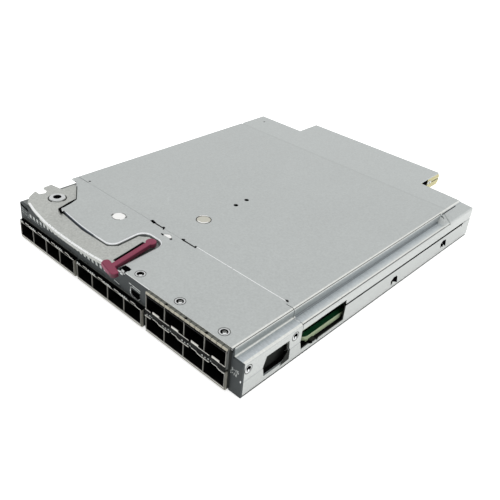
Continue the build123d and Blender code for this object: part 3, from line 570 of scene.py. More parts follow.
# Port edge lines: the edge steel's colour lightened into a painted highlight.
LINE_METAL = zinc_sheet("port edge steel and painted highlight", srgb(232, 231, 224), metal=0.1, rough=0.5, depth=1.6)
WALL_METAL = zinc_sheet("port wall steel", srgb(146, 145, 139), metal=0.1, rough=0.5, depth=1.4)
FINGER_METAL = zinc_sheet("finger strip", srgb(184, 180, 164), metal=0.1, rough=0.5, depth=2.0)
STRIP_TOP = zinc_sheet("finger strip top", srgb(92, 94, 87), metal=0.05, rough=0.6, depth=3.4)
ALUMINIUM = zinc_sheet("extruded aluminium", srgb(170, 172, 175), metal=0.9, rough=0.4)
CAGE = port_sheet("tinned cage sheet", srgb(140, 139, 133))
FACEPLATE = matt_paint("dark faceplate paint", srgb(63, 68, 69))
DIVIDER = matt_paint("printed divider black", srgb(20, 21, 20), 0.6, 0.05)
BLACK = moulded("black moulding", srgb(12, 12, 13), 0.6, shine=0.1)
# Black for gaps, holes, slots and recesses: painted shade.
GAP = moulded("painted gap shade", srgb(6, 6, 7), 0.9, shine=0.0)
SHADE = moulded("dull grey", srgb(96, 98, 96), 0.7, 0.15)
CHIP = moulded("chip resin", srgb(30, 30, 32), 0.45)
BOARD = solder_resist("board laminate")
FILM = moulded("insulating film", srgb(26, 26, 26), 0.4)
IVORY = moulded("connector ivory", srgb(222, 214, 168), 0.45)
SMOKE = moulded("smoked light bar", srgb(60, 65, 65), 0.3)
INK = moulded("pale printing", srgb(224, 229, 226), 0.6, 0.25, 3500.0)
FAINT_INK = moulded("rubbed printing", srgb(150, 156, 154), 0.6, 0.3, 3500.0)
# Lighter pink on the latch nose's front: painted highlight.
PINK_HIGHLIGHT = moulded("latch nose highlight", srgb(150, 68, 96), 0.5)
WHITE = moulded("white nylon", srgb(250, 250, 248), 0.5)
BEIGE = moulded("beige nylon", srgb(196, 194, 182), 0.5)
# The latch's darker side tone is painted shade; the top shows the moulding's own colour.
MAGENTA = two_facings("latch moulding", srgb(127, 43, 71), srgb(80, 22, 42), 0.55)
LEVER = zinc_sheet("lever steel", srgb(182, 184, 180), metal=0.6, rough=0.46, depth=2.0)
GUIDE = two_facings("guide moulding", srgb(120, 122, 116), srgb(214, 206, 150), 0.45, 0.5)

FINISHES = {
    "base_tray": ZINC_TRAY,
    "front_cover": ZINC,
    "rear_cover": ZINC,
    "lever_support_plate": SUPPORT,
    "ejector_lever": LEVER,
    "faceplate": FACEPLATE,
    "port_divider_bar": DIVIDER,
    "port_board": BOARD,
    "main_board": BOARD,
    "insulating_film": FILM,
    "standoffs": BRIGHT,
    "board_screws": BRIGHT,
    "cover_screws": BRIGHT,
    "side_screws": BRIGHT,
    "lever_pivot_rivet": BRIGHT,
    "latch_pin": BRIGHT,
    "latch_keeper": BRIGHT,
    "capacitors": ALUMINIUM,
    "heat_sink": ALUMINIUM,
    "service_port_shell": BRIGHT,
    "service_port_tongue": BLACK,
    "mezzanine_connectors": BLACK,
    "signal_chips": CHIP,
    "power_converters": CHIP,
    "guide_block_left": GUIDE,
    "guide_block_right": GUIDE,
    "release_latch": MAGENTA,
    "cover_post_front": WHITE,
    "cover_post_rear": BEIGE,
}


def finish_of(name):
    for start, made in (
        ("cage_", CAGE),
        ("gasket_", GASKET),
        ("host_connectors", BLACK),
        ("light_pipes", SMOKE),
        ("rear_connector", IVORY),
    ):
        if name.startswith(start):
            return made
    return FINISHES[name]


def dress(obj, made):
    obj.data.materials.clear()
    obj.data.materials.append(made)


for name, obj in nodes.items():
    dress(obj, finish_of(name))


# New pieces: thin plates, strips, rings and boxes, in module millimetres


def link_mesh(name, points, faces, finish, body="chassis"):
    """Object from an array of module-millimetre points and lists of corner numbers."""
    mesh = bpy.data.meshes.new(name)
    metres = (np.asarray(points, float) + (LEFT, FRONT, 0.0)) * MM
    mesh.from_pydata(metres.tolist(), [], faces)
    piece = bpy.data.objects.new(name, mesh)
    bpy.context.scene.collection.objects.link(piece)
    mesh.materials.append(finish)
    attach(piece, body)
    return piece


BOX_CORNERS = np.array([[i, j, k] for i in (0, 1) for j in (0, 1) for k in (0, 1)])
BOX_FACES = np.array([[0, 1, 3, 2], [4, 6, 7, 5], [0, 4, 5, 1], [2, 3, 7, 6], [0, 2, 6, 4], [1, 5, 7, 3]])


def boxes(name, rows, finish, body="chassis", bevel=0.0):
    """Boxes from rows (x0, x1, y0, y1, z0, z1): each corner is low + pick * (high - low)."""
    rows = np.asarray(rows, float).reshape(-1, 3, 2)
    low, high = rows[:, :, 0], rows[:, :, 1]
    points = (low[:, None] + BOX_CORNERS[None] * (high - low)[:, None]).reshape(-1, 3)
    start = np.arange(len(rows))[:, None, None] * 8
    faces = (BOX_FACES[None] + start).reshape(-1, 4).tolist()
    piece = link_mesh(name, points, faces, finish, body)
    if bevel:
        mod = piece.modifiers.new("edge", "BEVEL")
        mod.width = bevel * MM
        mod.segments = 2
    return piece


PLANES = {
    "top": lambda u, v, w: np.stack([u, v, w], axis=1),
    "side": lambda u, v, w: np.stack([w, u, v], axis=1),
    "front": lambda u, v, w: np.stack([u, -w, v], axis=1),
}


def plates(name, outlines, plane, low, high, finish, body="chassis"):
    """Plates with given outlines: each outline is carried along the plane's outward
    direction from low to high, with a cap at each end and a wall of quads between."""
    points, faces, start = [], [], 0
    for outline in outlines:
        p = np.asarray(outline, float)
        q = np.roll(p, -1, axis=0)
        if np.sum(p[:, 0] * q[:, 1] - q[:, 0] * p[:, 1]) < 0:
            p = p[::-1]
        n = len(p)
        for w in (low, high):
            points.append(PLANES[plane](p[:, 0], p[:, 1], np.full(n, float(w))))
        ring = np.arange(n)
        after = (ring + 1) % n
        faces.append((start + ring[::-1]).tolist())
        faces.append((start + n + ring).tolist())
        walls = np.stack([ring, after, after + n, ring + n], axis=1) + start
        faces.extend(walls.tolist())
        start += 2 * n
    return link_mesh(name, np.concatenate(points), faces, finish, body)


def arc(cx, cy, radius, a0, a1, count=24, squash=1.0):
    """Points (cx + r cos a, cy + s r sin a) for angles in degrees from a0 to a1."""
    a = np.radians(np.linspace(a0, a1, count))
    return np.stack([cx + radius * np.cos(a), cy + squash * radius * np.sin(a)], axis=1)


def disc(cx, cy, radius, squash=1.0):
    return arc(cx, cy, radius, 0, 345, 24, squash)


def sector(cx, cy, r0, r1, a0, a1):
    """Outline between two arcs of one centre."""
    return np.concatenate([arc(cx, cy, r1, a0, a1), arc(cx, cy, r0, a1, a0)])


def ribbon(path, width):
    """Outline of a strip of one width along a path: each point goes half the width to
    either side, along the mean of the normals of its two runs."""
    p = np.asarray(path, float)
    d = np.diff(p, axis=0)
    d /= np.linalg.norm(d, axis=1)[:, None]
    n = np.stack([-d[:, 1], d[:, 0]], axis=1)
    mean = np.concatenate([n[:1], (n[:-1] + n[1:]), n[-1:]])
    mean /= np.linalg.norm(mean, axis=1)[:, None]
    return np.concatenate([p + mean * width / 2, (p - mean * width / 2)[::-1]])


def ring(name, centre, plane, profile, finish, body="chassis", slot="zinc_fastener", count=36):
    """Ring turned about an axis: a closed profile of (radius, height) points, carried round
    count angles; the quads join each profile edge to the next angle's."""
    prof = np.asarray(profile, float)
    a = np.linspace(0, 2 * np.pi, count, endpoint=False)[:, None]
    u = (centre[0] + prof[None, :, 0] * np.cos(a)).ravel()
    v = (centre[1] + prof[None, :, 0] * np.sin(a)).ravel()
    w = np.broadcast_to(prof[None, :, 1], (count, len(prof))).ravel()
    m = len(prof)
    i, j = np.meshgrid(np.arange(count), np.arange(m), indexing="ij")
    i2, j2 = (i + 1) % count, (j + 1) % m
    quads = np.stack([i * m + j, i * m + j2, i2 * m + j2, i2 * m + j], axis=-1).reshape(-1, 4)
    return link_mesh(name, PLANES[plane](u, v, w), quads.tolist(), finish, body)


# Ports. Upright pieces are counted from MOUTH, the plane of the port faces, and each port
# from the middle of the cage wall on its left.

MOUTH = -2.4
PORTS = 4
ROW_WIDTH = PORTS * PORT_PITCH + CAGE_WALL
HALF_WALL = CAGE_WALL / 2
LOW_LINE = {"left": 12.2, "middle": 11.9, "right": 11.4}
BEHIND_FACE = -0.02


def edge_lines(name, group, z_low, rise, forward=0.2):
    """Front edge of a row's top sheet: low beside each divider, raised over the latch."""
    x0 = GROUPS[group]
    outlines = []
    for i in range(-1, PORTS):
        wall = x0 + HALF_WALL + i * PORT_PITCH
        left_end = max(wall + 10.7, x0)
        right_end = min(wall + PORT_PITCH + 4.0, x0 + PORTS * PORT_PITCH + HALF_WALL)
        path = [(left_end, z_low), (right_end, z_low)]
        if i >= 0:
            rises = ((6.0, 1.0), (9.5, 1.0), (9.7, 0.45), (10.5, 0.4))
            path = [(wall + at, z_low + rise * share) for at, share in rises] + path
        outlines.append(ribbon(path, 0.34))
    low, high = -MOUTH + 0.02, -MOUTH + forward
    return plates(name, outlines, "front", low, high, LINE_METAL)


def port_dividers(name, group, z0, z1):
    """Rims of the upright walls between a row's ports."""
    walls = GROUPS[group] + np.arange(PORTS + 1) * PORT_PITCH
    rows = [(x, x + 0.3, MOUTH - 0.25, MOUTH, z0, z1) for x in walls]
    return boxes(name, rows, WALL_METAL, bevel=0.05)


def window_marks(x0, x1, z):
    """Bright slanted marks of the light windows over a row, beside each divider."""
    marks = []
    for wall in x0 + np.arange(PORTS) * PORT_PITCH:
        for at, tall in ((-3.4, 0.7), (-1.6, 0.6), (0.2, 0.8), (1.8, 0.5)):
            x = wall + at
            if x0 < x < x1 - 2:
                foot = [(x, z + 0.45), (x + 1.3, z + 0.35)]
                marks.append(foot + [(x + 1.2, z + 0.5 + tall), (x + 0.3, z + 0.4 + tall)])
    return marks


for group in ("left", "middle"):
    z = LOW_LINE[group]
    x0 = GROUPS[group]
    x1 = x0 + ROW_WIDTH
    edge_lines(f"port_edge_{group}", group, z, 1.1)
    port_dividers(f"port_dividers_{group}", group, 2.4, z)
    # The black band over each row's mouths and the dark grey band above it are painted shade.
    for part, margin, y0, z0, z1, finish, slot in (
        ("shade", 0.4, MOUTH - 0.05, 11.96, 13.0, GAP, "insulating_black"),
        ("top_shade", 0.4, -0.3, 13.0, 13.7, GROOVE, "insulating_black"),
        ("top_line", 0.6, -0.34, 13.7, 13.95, SHADE, "gasket_metal"),
    ):
        row = (x0 - margin, x1 + margin, y0, BEHIND_FACE, z0, z1)
        boxes(f"port_{part}_{group}", [row], finish)
    marks = window_marks(x0, x1, z)
    low, high = -MOUTH + 0.04, -MOUTH + 0.14
    plates(f"port_windows_{group}", marks, "front", low, high, INK)

# The two stacked rows at the right, with the printed strip between them

x0 = GROUPS["right"]
x1 = x0 + ROW_WIDTH
UPPER_SILL = 15.5
edge_lines("port_edge_right_lower", "right", LOW_LINE["right"], 1.0, 0.62)
port_dividers("port_dividers_right_lower", "right", 2.4, 11.5)
port_dividers("port_dividers_right_upper", "right", UPPER_SILL, 24.5)
band_row = (x0, x1, MOUTH - 0.5, MOUTH, 11.9, UPPER_SILL)
band_face = boxes("port_divider_strip", [band_row], DIVIDER, bevel=0.1)
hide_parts("port_divider_bar")
lines, tabs, roots, marks = [], [], [], []
for i in range(PORTS + 1):
    wall = x0 + HALF_WALL + i * PORT_PITCH
    ends = max(wall - 4.2, x0), min(wall + 4.1, x1)
    lines.append((*ends, MOUTH - 0.55, MOUTH - 0.4, UPPER_SILL - 0.05, UPPER_SILL + 0.25))
    if i == PORTS:
        break
    tabs.append((wall + 6.0, wall + 10.9, MOUTH - 0.9, MOUTH - 0.65, 16.0, 17.2))
    roots.append((wall + 4.3, wall + 10.0, MOUTH - 0.7, MOUTH - 0.4, 13.4, 15.4))
    for at, z, size in ((3.0, 12.9, 0.9), (-1.2, 12.6, 1.0), (0.9, 12.5, 0.8), (4.8, 12.9, 0.7)):
        if at > 0 or i:
            x = wall + at
            marks.append([(x, z), (x + size * 1.3, z - 0.1), (x + size * 0.7, z + size * 0.8)])
boxes("upper_port_sill", lines, LINE_METAL)
boxes("upper_port_tabs", tabs, LINE_METAL)
# Dark roots under the latch tabs: painted shade.
boxes("upper_port_tab_roots", roots, GROOVE, bevel=0.15)
low, high = -MOUTH + 0.5, -MOUTH + 0.62
plates("divider_triangles", marks, "front", low, high, INK)

# Finger strip over the upper row: one finger each FINGER_PITCH, with painted shade between them

OVERHANG = 0.4
FINGERS = 16
FINGER_PITCH = (x1 - x0 + 2 * OVERHANG) / FINGERS
starts = x0 - OVERHANG + np.arange(FINGERS) * FINGER_PITCH
fingers = [(x, x + FINGER_PITCH - 0.3, MOUTH, MOUTH + 0.5, 24.5, 25.85) for x in starts]
strip = boxes("finger_strip", fingers, FINGER_METAL, bevel=0.12)
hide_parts("gasket_right_upper")
roof = (x0 - OVERHANG, x1 + OVERHANG, MOUTH + 0.45, BEHIND_FACE, 25.0, 25.75)
boxes("finger_strip_roof", [roof], STRIP_TOP, bevel=0.1)
# Black at the top of the upper mouths and dark grey at the row's sides: painted shade.
mouth_top = (x0 - 0.3, x1 + 0.3, MOUTH + 0.02, -0.1, 23.6, 24.6)
boxes("upper_port_shade", [mouth_top], GAP)
sides = [(x, x + 0.45, MOUTH + 0.05, BEHIND_FACE, 13.7, 24.9) for x in (x0 - 0.5, x1 + 0.05)]
boxes("upper_port_sides", sides, SHADE)
gaps = [(x - 0.28, x, -1.9, -0.5, 25.74, 25.79) for x in starts[1:]]
boxes("finger_strip_gaps", gaps, GAP)
spots = []
for wall in x0 + np.arange(1, PORTS) * PORT_PITCH:
    spots.append([(wall - 0.9, -1.9), (wall + 0.7, -2.0), (wall + 0.9, -0.8), (wall - 0.4, -0.6)])
plates("finger_strip_slots", spots, "top", 25.76, 25.8, GAP)

# Feet and side gaps of the three groups

# Side gaps and foot gaps are painted shade; the bright foot line is the edge's colour lightened into a
# painted highlight.
for group, top in (("left", 12.0), ("middle", 12.0), ("right", 24.6)):
    x = GROUPS[group]
    far = x + ROW_WIDTH
    for part, x_low, x_high, y0, y1, z0, z1, finish, slot in (
        ("side_gap", far + 0.45, far + 1.0, MOUTH + 1.2, BEHIND_FACE, 1.6, top, GROOVE, "insulating_black"),
        ("foot_gap", x, far, MOUTH - 0.02, MOUTH + 0.2, 1.68, 1.9, GAP, "insulating_black"),
        ("foot", x, far, MOUTH - 0.2, MOUTH, 1.9, 2.35, LINE_METAL, "cage_steel"),
        ("foot_strip", x, far, MOUTH - 0.05, MOUTH + 0.4, 0.95, 1.65, GASKET, "gasket_metal"),
    ):
        boxes(f"port_{part}_{group}", [(x_low, x_high, y0, y1, z0, z1)], finish)

# Faceplate: plain marks, service port surround, dark wedge at the left

DIGITS = {
    "1": [[(0.5, 0), (0.5, 1)]],
    "2": [[(0, 1), (1, 1), (1, 0.5), (0, 0.5), (0, 0), (1, 0)]],
    "3": [[(0, 1), (1, 1), (1, 0.5), (0.2, 0.5)], [(1, 0.5), (1, 0), (0, 0)]],
    "6": [[(1, 1), (0, 1), (0, 0), (1, 0), (1, 0.5), (0, 0.5)]],
    "9": [[(1, 0.5), (0, 0.5), (0, 1), (1, 1), (1, 0), (0, 0)]],
    "-": [[(0.1, 0.5), (0.9, 0.5)]],
}


def digits(text, x, z, size):
    """Strokes of plain numbers, each a strip on the digit's square grid."""
    out = []
    for k, sign in enumerate(text):
        for stroke in DIGITS[sign]:
            p = np.asarray(stroke, float) * (size * 0.5, size) + (x + k * size * 0.82, z)
            out.append(ribbon(p, 0.27))
    return out


def grip_teeth():
    """Row of bright teeth under the lever's grip; those before the latch arm are shorter."""
    teeth = []
    for x in 13.5 + 3.75 * np.arange(21):
        tall = 1.1 * (1.0 if x > 64 or x < 34 else 0.55)
        teeth.append([(x, 18.6 - tall), (x + 1.7, 18.3 - tall), (x + 1.5, 19.2), (x - 0.3, 19.5)])
    return teeth


def worn_marks():
    """Small wavy strokes at the faceplate's left end."""
    places = [
        (4.2, 20.4), (4.2, 18.9), (4.4, 17.3), (7.4, 18.9), (7.6, 17.0), (10.8, 17.6),
        (10.6, 16.2), (14.4, 17.2), (17.6, 16.6), (21.0, 16.4), (24.6, 16.2),
    ]
    wave = np.array([(0.0, 0.0), (0.9, 0.5), (1.7, -0.1), (2.3, 0.2)])
    return [ribbon(wave + place, 0.45) for place in places]


SERVICE_MARKS = [
    ribbon([(97.6, 16.2), (101.9, 15.5)], 0.35),
    ribbon([(110.4, 21.2), (112.4, 21.1)], 0.6),
    ribbon([(113.2, 21.0), (119.7, 20.6)], 0.5),
    ribbon([(111.9, 17.2), (111.7, 19.3), (113.2, 19.9), (119.6, 19.4)], 0.35),
]
SERVICE_MOUTH = [(112.5, 18.6), (112.6, 17.4), (113.9, 15.6), (118.6, 15.0), (119.7, 15.9), (119.7, 18.4)]
LEFT_WEDGE = [
    [(3.0, 23.4), (3.2, 22.0), (11.5, 20.4), (11.9, 21.6)],
    [(8.9, 23.4), (9.6, 23.3), (12.4, 20.9), (11.4, 20.6)],
]
PORT_NUMBERS = digits("13-16", 184.9, 13.6, 1.5) + digits("9-12", 185.2, 11.3, 1.5)

for name, outlines, low, high, finish, slot in (
    ("faceplate_lines", SERVICE_MARKS, 0.0, 0.05, INK, "faceplate_paint"),
    # Dark service port mouth: painted shade.
    ("service_port_mouth", [SERVICE_MOUTH], 0.3, 0.42, GAP, "port_tongue_black"),
    ("port_numbers", PORT_NUMBERS, 0.0, 0.04, INK, "faceplate_paint"),
    ("faceplate_wedge", LEFT_WEDGE, 0.0, 0.06, GAP, "faceplate_paint"),
    ("faceplate_ribs", grip_teeth(), 0.0, 0.06, INK, "faceplate_paint"),
    ("faceplate_pattern", worn_marks(), 0.0, 0.05, FAINT_INK, "faceplate_paint"),
):
    plates(name, outlines, "front", low, high, finish)

dots = [(192.0, 192.6, -0.12, 0.0, 9.3, 10.6), (184.9, 185.9, -0.12, 0.0, 24.6, 25.3)]
boxes("faceplate_corner_dots", dots, WHITE_TRIM_AND_HIGHLIGHT)
shades = [(183.6, 184.9, -0.12, 0.0, 24.9, 25.7), (185.9, 186.4, -0.12, 0.0, 23.8, 25.4)]
boxes("faceplate_corner_shade", shades, GAP)

# Covers: front nose over the faceplate, seam, holes. Marks end a hair above the covers at
# MARK or THIN_MARK, strips of metal at STRIP; the white strips are painted highlights.

THIN_MARK = 26.13
MARK = 26.14
STRIP = 26.16
NOSE = (107.4, 186.0)
SEAM_LINE = 44.5
SEAM_RUNS = ((11.5, 74.6), (87.0, 101.6))
# White strips on the nose edge and along the seams: painted highlights.
for name, rows, finish, bevel in (
    ("cover_nose", [(*NOSE, 0.0, 1.3, TOP, STRIP)], ZINC, 0.0),
    ("cover_nose_edge", [(*NOSE, -0.12, 0.1, 25.75, STRIP)], WHITE_TRIM_AND_HIGHLIGHT, 0.08),
    ("cover_seam_lip", [(113.6, 179.0, 45.45, 45.95, 25.8, STRIP)], WHITE_TRIM_AND_HIGHLIGHT, 0.08),
    ("cover_seam_fill", [(*run, 44.42, 44.7, 25.6, 26.04) for run in SEAM_RUNS], ZINC, 0.0),
    ("shoulder_seam_lip", [(187.0, 190.6, 43.62, 43.98, 20.3, 20.66)], WHITE_TRIM_AND_HIGHLIGHT, 0.06),
):
    boxes(name, rows, finish, bevel=bevel)

HALF_MOON = [(90.3, 39.9), (97.9, 40.3), (95.5, 42.5), (93.3, 42.8)]
HALF_MOON_ENDS = [ribbon([(89.6, 39.9), (91.9, 39.6)], 1.0), disc(97.7, 40.1, 0.85)]
FRONT_HOLE = (58.5, 33.3)
REAR_HOLE = (93.7, 70.0)
FRONT_RIM = [
    sector(*FRONT_HOLE, *cut)
    for cut in ((3.9, 4.8, 20, 48), (3.9, 4.9, 190, 222), (3.8, 4.2, 60, 120), (3.9, 4.3, 240, 330))
]
REAR_GLINT = [sector(*REAR_HOLE, *cut) for cut in ((3.4, 4.2, -110, 0), (4.6, 5.2, 100, 170))]
REAR_RIM = [sector(*REAR_HOLE, *cut) for cut in ((4.3, 4.7, -30, 45), (4.3, 4.7, 150, 240))]
SEAM_GAPS = [
    ribbon([(74.3, 45.4), (78.4, SEAM_LINE)], 1.9),
    ribbon([(77.9, SEAM_LINE), (86.4, SEAM_LINE)], 0.6),
    ribbon([(85.8, 45.7), (87.0, 43.5)], 0.8),
    ribbon([(101.6, 45.1), (104.2, 44.6)], 1.2),
    ribbon([(104.0, SEAM_LINE), (113.2, SEAM_LINE)], 0.55),
    ribbon([(112.8, 45.3), (113.6, 44.2)], 0.8),
]
VENTS = [disc(93.6, 98.4, 1.5), disc(93.2, 108.8, 1.5)]

# Dark half-moon ends, arcs round both holes, vent holes and seam gaps: painted shade; the rear hole's white
# arcs: painted glints.
for name, outlines, low, high, finish, slot in (
    ("half_moon_backing", [HALF_MOON], 25.6, 25.98, WHITE, "post_white"),
    ("half_moon_shade", HALF_MOON_ENDS, TOP, MARK, GAP, "galvanised_steel"),
    ("front_post_cap", [disc(*FRONT_HOLE, 4.15)], 25.6, 26.06, WHITE, "post_white"),
    ("front_hole_marks", FRONT_RIM, TOP, MARK, SHADE, "galvanised_steel"),
    ("rear_post_cap", [disc(*REAR_HOLE, 4.3)], 25.8, 26.04, BEIGE, "post_beige"),
    ("rear_hole_glint", REAR_GLINT, 26.04, THIN_MARK, WHITE, "post_beige"),
    ("rear_hole_shade", REAR_RIM, TOP, MARK, GAP, "galvanised_steel"),
    ("cover_vent_ovals", VENTS, TOP, THIN_MARK, GAP, "insulating_black"),
    ("cover_seam_gap", SEAM_GAPS, TOP, THIN_MARK, GAP, "insulating_black"),
):
    plates(name, outlines, "top", low, high, finish)

# Screws: a thin ring, a dark recess and a glint in it, as thin layers one over another; the recess and the
# cover screws' dark ring are painted shade, the glint a painted highlight

COVER_LAYERS = (TOP, 26.12, THIN_MARK, STRIP)
for k, x in enumerate((113.3, 144.2, 175.1)):
    c = (x, 5.3)
    profile = [(2.75, TOP), (2.75, 26.15), (3.05, 26.15), (3.05, TOP)]
    ring(f"cover_screw_ring_{k + 1}", c, "top", profile, GAP)
    layers = [("recess", disc(*c, 2.0), GAP), ("drive", disc(x + 0.3, c[1], 1.15), SHADE)]
    layers.append(("glint", sector(*c, 0.9, 1.8, -75, 0), WHITE_TRIM_AND_HIGHLIGHT))
    for level, (part, outline, finish) in enumerate(layers):
        if part == "drive" and k == 0:
            continue
        low, high = COVER_LAYERS[level : level + 2]
        plates(f"cover_screw_{part}_{k + 1}", [outline], "top", low, high, finish)

SIDE_MARK = 193.02
SIDE_LAYERS = (192.99, 193.01, SIDE_MARK)
for k, y in enumerate((3.9, 38.3)):
    c = (y, 16.0)
    low, high = SIDE_LAYERS[:2]
    profile = [(2.2, low), (2.2, high), (2.75, high), (2.75, low)]
    ring(f"side_screw_ring_{k + 1}", c, "side", profile, SHADE)
    recess = np.concatenate([arc(*c, 1.8, -60, 150), arc(y - 0.2, c[1] - 0.3, 0.9, 170, 330)])
    plates(f"side_screw_recess_{k + 1}", [recess], "side", low, high, GAP)
    glint = disc(y + 0.1, c[1] - 0.7, 0.6)
    plates(f"side_screw_glint_{k + 1}", [glint], "side", high, SIDE_LAYERS[2], WHITE_TRIM_AND_HIGHLIGHT)

# Lever, rivet and latch: a painted highlight on the grip's bend, painted shade in the gaps beside the lever
# and round the rivet

PIVOT = (15.0, 18.8)
LEVER_TOP = 24.95
GRIP = [(9.6, 2.3), (20.0, -0.2), (35.0, -2.6), (50.0, -3.5), (65.0, -3.6), (80.0, -2.9), (91.4, -1.6)]
LOBE_WEDGE = [
    (25.4, 26.1), (27.7, 20.2), (28.9, 15.3), (29.2, 12.4), (33.1, 10.5),
    (30.2, 10.6), (28.2, 10.9), (27.0, 15.5), (25.6, 20.1), (24.6, 25.4),
]
LOBE_EDGE = ribbon([(25.0, 26.0), (15.2, 33.1), (11.0, 36.0)], 0.5)
RIVET_ARCS = [sector(*PIVOT, 5.2, 5.8, 185, 290), sector(*PIVOT, 5.2, 5.8, 5, 95)]
LATCH_GAP = ribbon([(89.6, 27.2), (92.3, 12.0), (93.6, 3.4)], 2.2)
LATCH_NOSE = ribbon([(93.0, -4.6), (99.0, -6.3), (105.4, -7.1)], 0.5)
LEVER_SLOT = sector(*PIVOT, 17.4, 21.6, -28, 78)

# Painted highlight on the grip's bend; black painted shade along the cover edge, under the lever slot,
# round the rivet, beside the latch and in the keeper; a painted highlight on the latch nose.
for name, outlines, low, high, finish, body, slot in (
    ("grip_bend", [ribbon(GRIP, 1.5)], LEVER_TOP, 24.99, WHITE_TRIM_AND_HIGHLIGHT, "lever", "lever_steel"),
    ("cover_edge_seal", [LOBE_WEDGE, LOBE_EDGE], 25.06, 26.12, GAP, "chassis", "insulating_black"),
    ("cover_edge_spot", [disc(32.3, 11.3, 0.45)], 26.12, 26.15, WHITE_TRIM_AND_HIGHLIGHT, "chassis", "galvanised_steel"),
    ("lever_gap_liner", [LEVER_SLOT], 23.72, 23.8, GAP, "chassis", "insulating_black"),
    ("rivet_arcs", RIVET_ARCS, LEVER_TOP, 25.02, GAP, "lever", "zinc_fastener"),
    ("rivet_bore", [disc(*PIVOT, 2.6)], 25.6, 25.7, GAP, "lever", "zinc_fastener"),
    ("latch_gap", [LATCH_GAP], 24.96, 25.06, GAP, "lever", "insulating_black"),
    ("keeper_shade", [disc(104.8, 2.7, 2.9, 0.62)], 24.75, 26.12, GAP, "chassis", "insulating_black"),
    ("latch_nose", [LATCH_NOSE], 25.2, 27.2, PINK_HIGHLIGHT, "latch", "latch_magenta"),
):
    plates(name, outlines, "top", low, high, finish, body)

# Black knot at the cover edge: painted shade.
knot = (31.6, 33.4, 9.6, 10.8, 25.2, MARK)
boxes("cover_edge_knot", [knot], GAP, bevel=0.1)
keeper_steps = [(101.3, 103.6, -0.5, 0.3, 24.4, 24.9), (103.4, 105.4, -0.5, 0.3, 23.6, 24.2)]
boxes("keeper_tab", keeper_steps, WHITE_TRIM_AND_HIGHLIGHT, bevel=0.1)
FLARE = [(2.6, 25.6), (2.6, 25.95), (3.0, 26.0), (3.7, 25.7), (3.7, 25.6)]
ring("rivet_flare", PIVOT, "top", FLARE, BRIGHT, "lever")

# Right side: painted shadows of the seam and louvres, painted shade in the windows, and the foot of the
# tray

SEAM_AND_LOUVRES = [
    ribbon([(81.8, 13.2), (134.0, 12.95), (217.0, 12.6)], 1.15),
    ribbon([(216.8, 12.7), (219.4, 12.6)], 0.5),
    ribbon([(217.2, 13.2), (218.4, 10.6)], 0.45),
    [
        (130.1, 6.1), (133.2, 8.2), (137.2, 6.9), (138.2, 1.9),
        (134.5, 4.2), (132.8, 6.0), (131.6, 3.0), (130.9, 3.0),
    ],
    [
        (190.4, 7.6), (193.1, 9.6), (197.2, 8.9), (198.9, 2.9),
        (195.2, 5.6), (192.9, 7.6), (192.0, 4.4), (191.5, 4.4),
    ],
]
WINDOW_CORNER = [(28.0, 2.6), (35.2, 3.1), (35.1, 10.5), (31.5, 7.5)]
WINDOW_SHADE_BACKING = [(12.2, 2.0), (36.8, 2.0), (36.8, 12.5), (22.0, 13.5), (17.0, 9.0), (12.2, 6.5)]
FOOT_LINE = ribbon([(1.5, 0.25), (229.0, 0.25)], 0.3)

# Seam and louvre shadows, the dark window corner and the window backing: painted shade.
for name, outlines, low, high, finish, slot in (
    ("side_seam_shadow", SEAM_AND_LOUVRES, 192.6, SIDE_MARK, GAP, "insulating_black"),
    ("front_window_corner", [WINDOW_CORNER], 192.98, 193.01, GROOVE, "insulating_black"),
    ("tray_foot_line", [FOOT_LINE], 192.6, SIDE_MARK, SHADE, "galvanised_steel"),
    ("front_window_glow", [WINDOW_SHADE_BACKING], 188.4, 188.45, GROOVE, "insulating_black"),
):
    plates(name, outlines, "side", low, high, finish)

board_low, board_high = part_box("main_board")
board_side = board_high[0] / MM - LEFT
board_under = board_low[2] / MM
stiffener = (board_side - 2.0, board_side, 52.5, 84.0, board_under - 0.9, board_under)
boxes("board_edge_stiffener", [stiffener], BOARD)
# Black plates in the windows, the corner slit and the ramp groove: painted shade.
for name, row in (
    ("front_window_lining", (188.0, 188.4, 12.0, 37.0, 2.0, 17.0)),
    ("rear_window_lining", (186.7, 187.0, 43.6, 84.0, 5.9, 18.5)),
    ("corner_slit_dark", (186.6, 190.2, 195.2, 196.2, 19.0, 21.2)),
    ("ramp_groove_dark", (186.85, 187.15, 195.8, 213.5, 25.52, 26.0)),
):
    boxes(name, [row], GAP)

# Rear: painted shade in the gaps of the two guides, and their clips, a hair wider than the guide on each
# side

for name, x in (("left", 40.6), ("right", 148.2)):
    shadow = (x - 0.05, x + 5.65, 229.4, 236.5, 16.6, 24.6)
    boxes(f"guide_shadow_{name}", [shadow], GAP)
    clip = (x - 0.07, x + 5.72, 237.5, 242.5, 20.4, 22.6)
    boxes(f"guide_clip_{name}", [clip], BRIGHT, bevel=0.3)
    spot = (x - 0.1, x + 5.76, 239.0, 240.4, 20.8, 21.7)
    boxes(f"guide_spot_{name}", [spot], GAP)

# Camera, floor and light

AZIMUTH = math.radians(41.359)
ELEVATION = math.radians(30.079)
ROLL = math.radians(4.715)
CAMERA_AT = (0.235293, -0.285922, 0.223526)
FLOOR_LIFT = -0.0004
FLOOR_HALF = 3.0


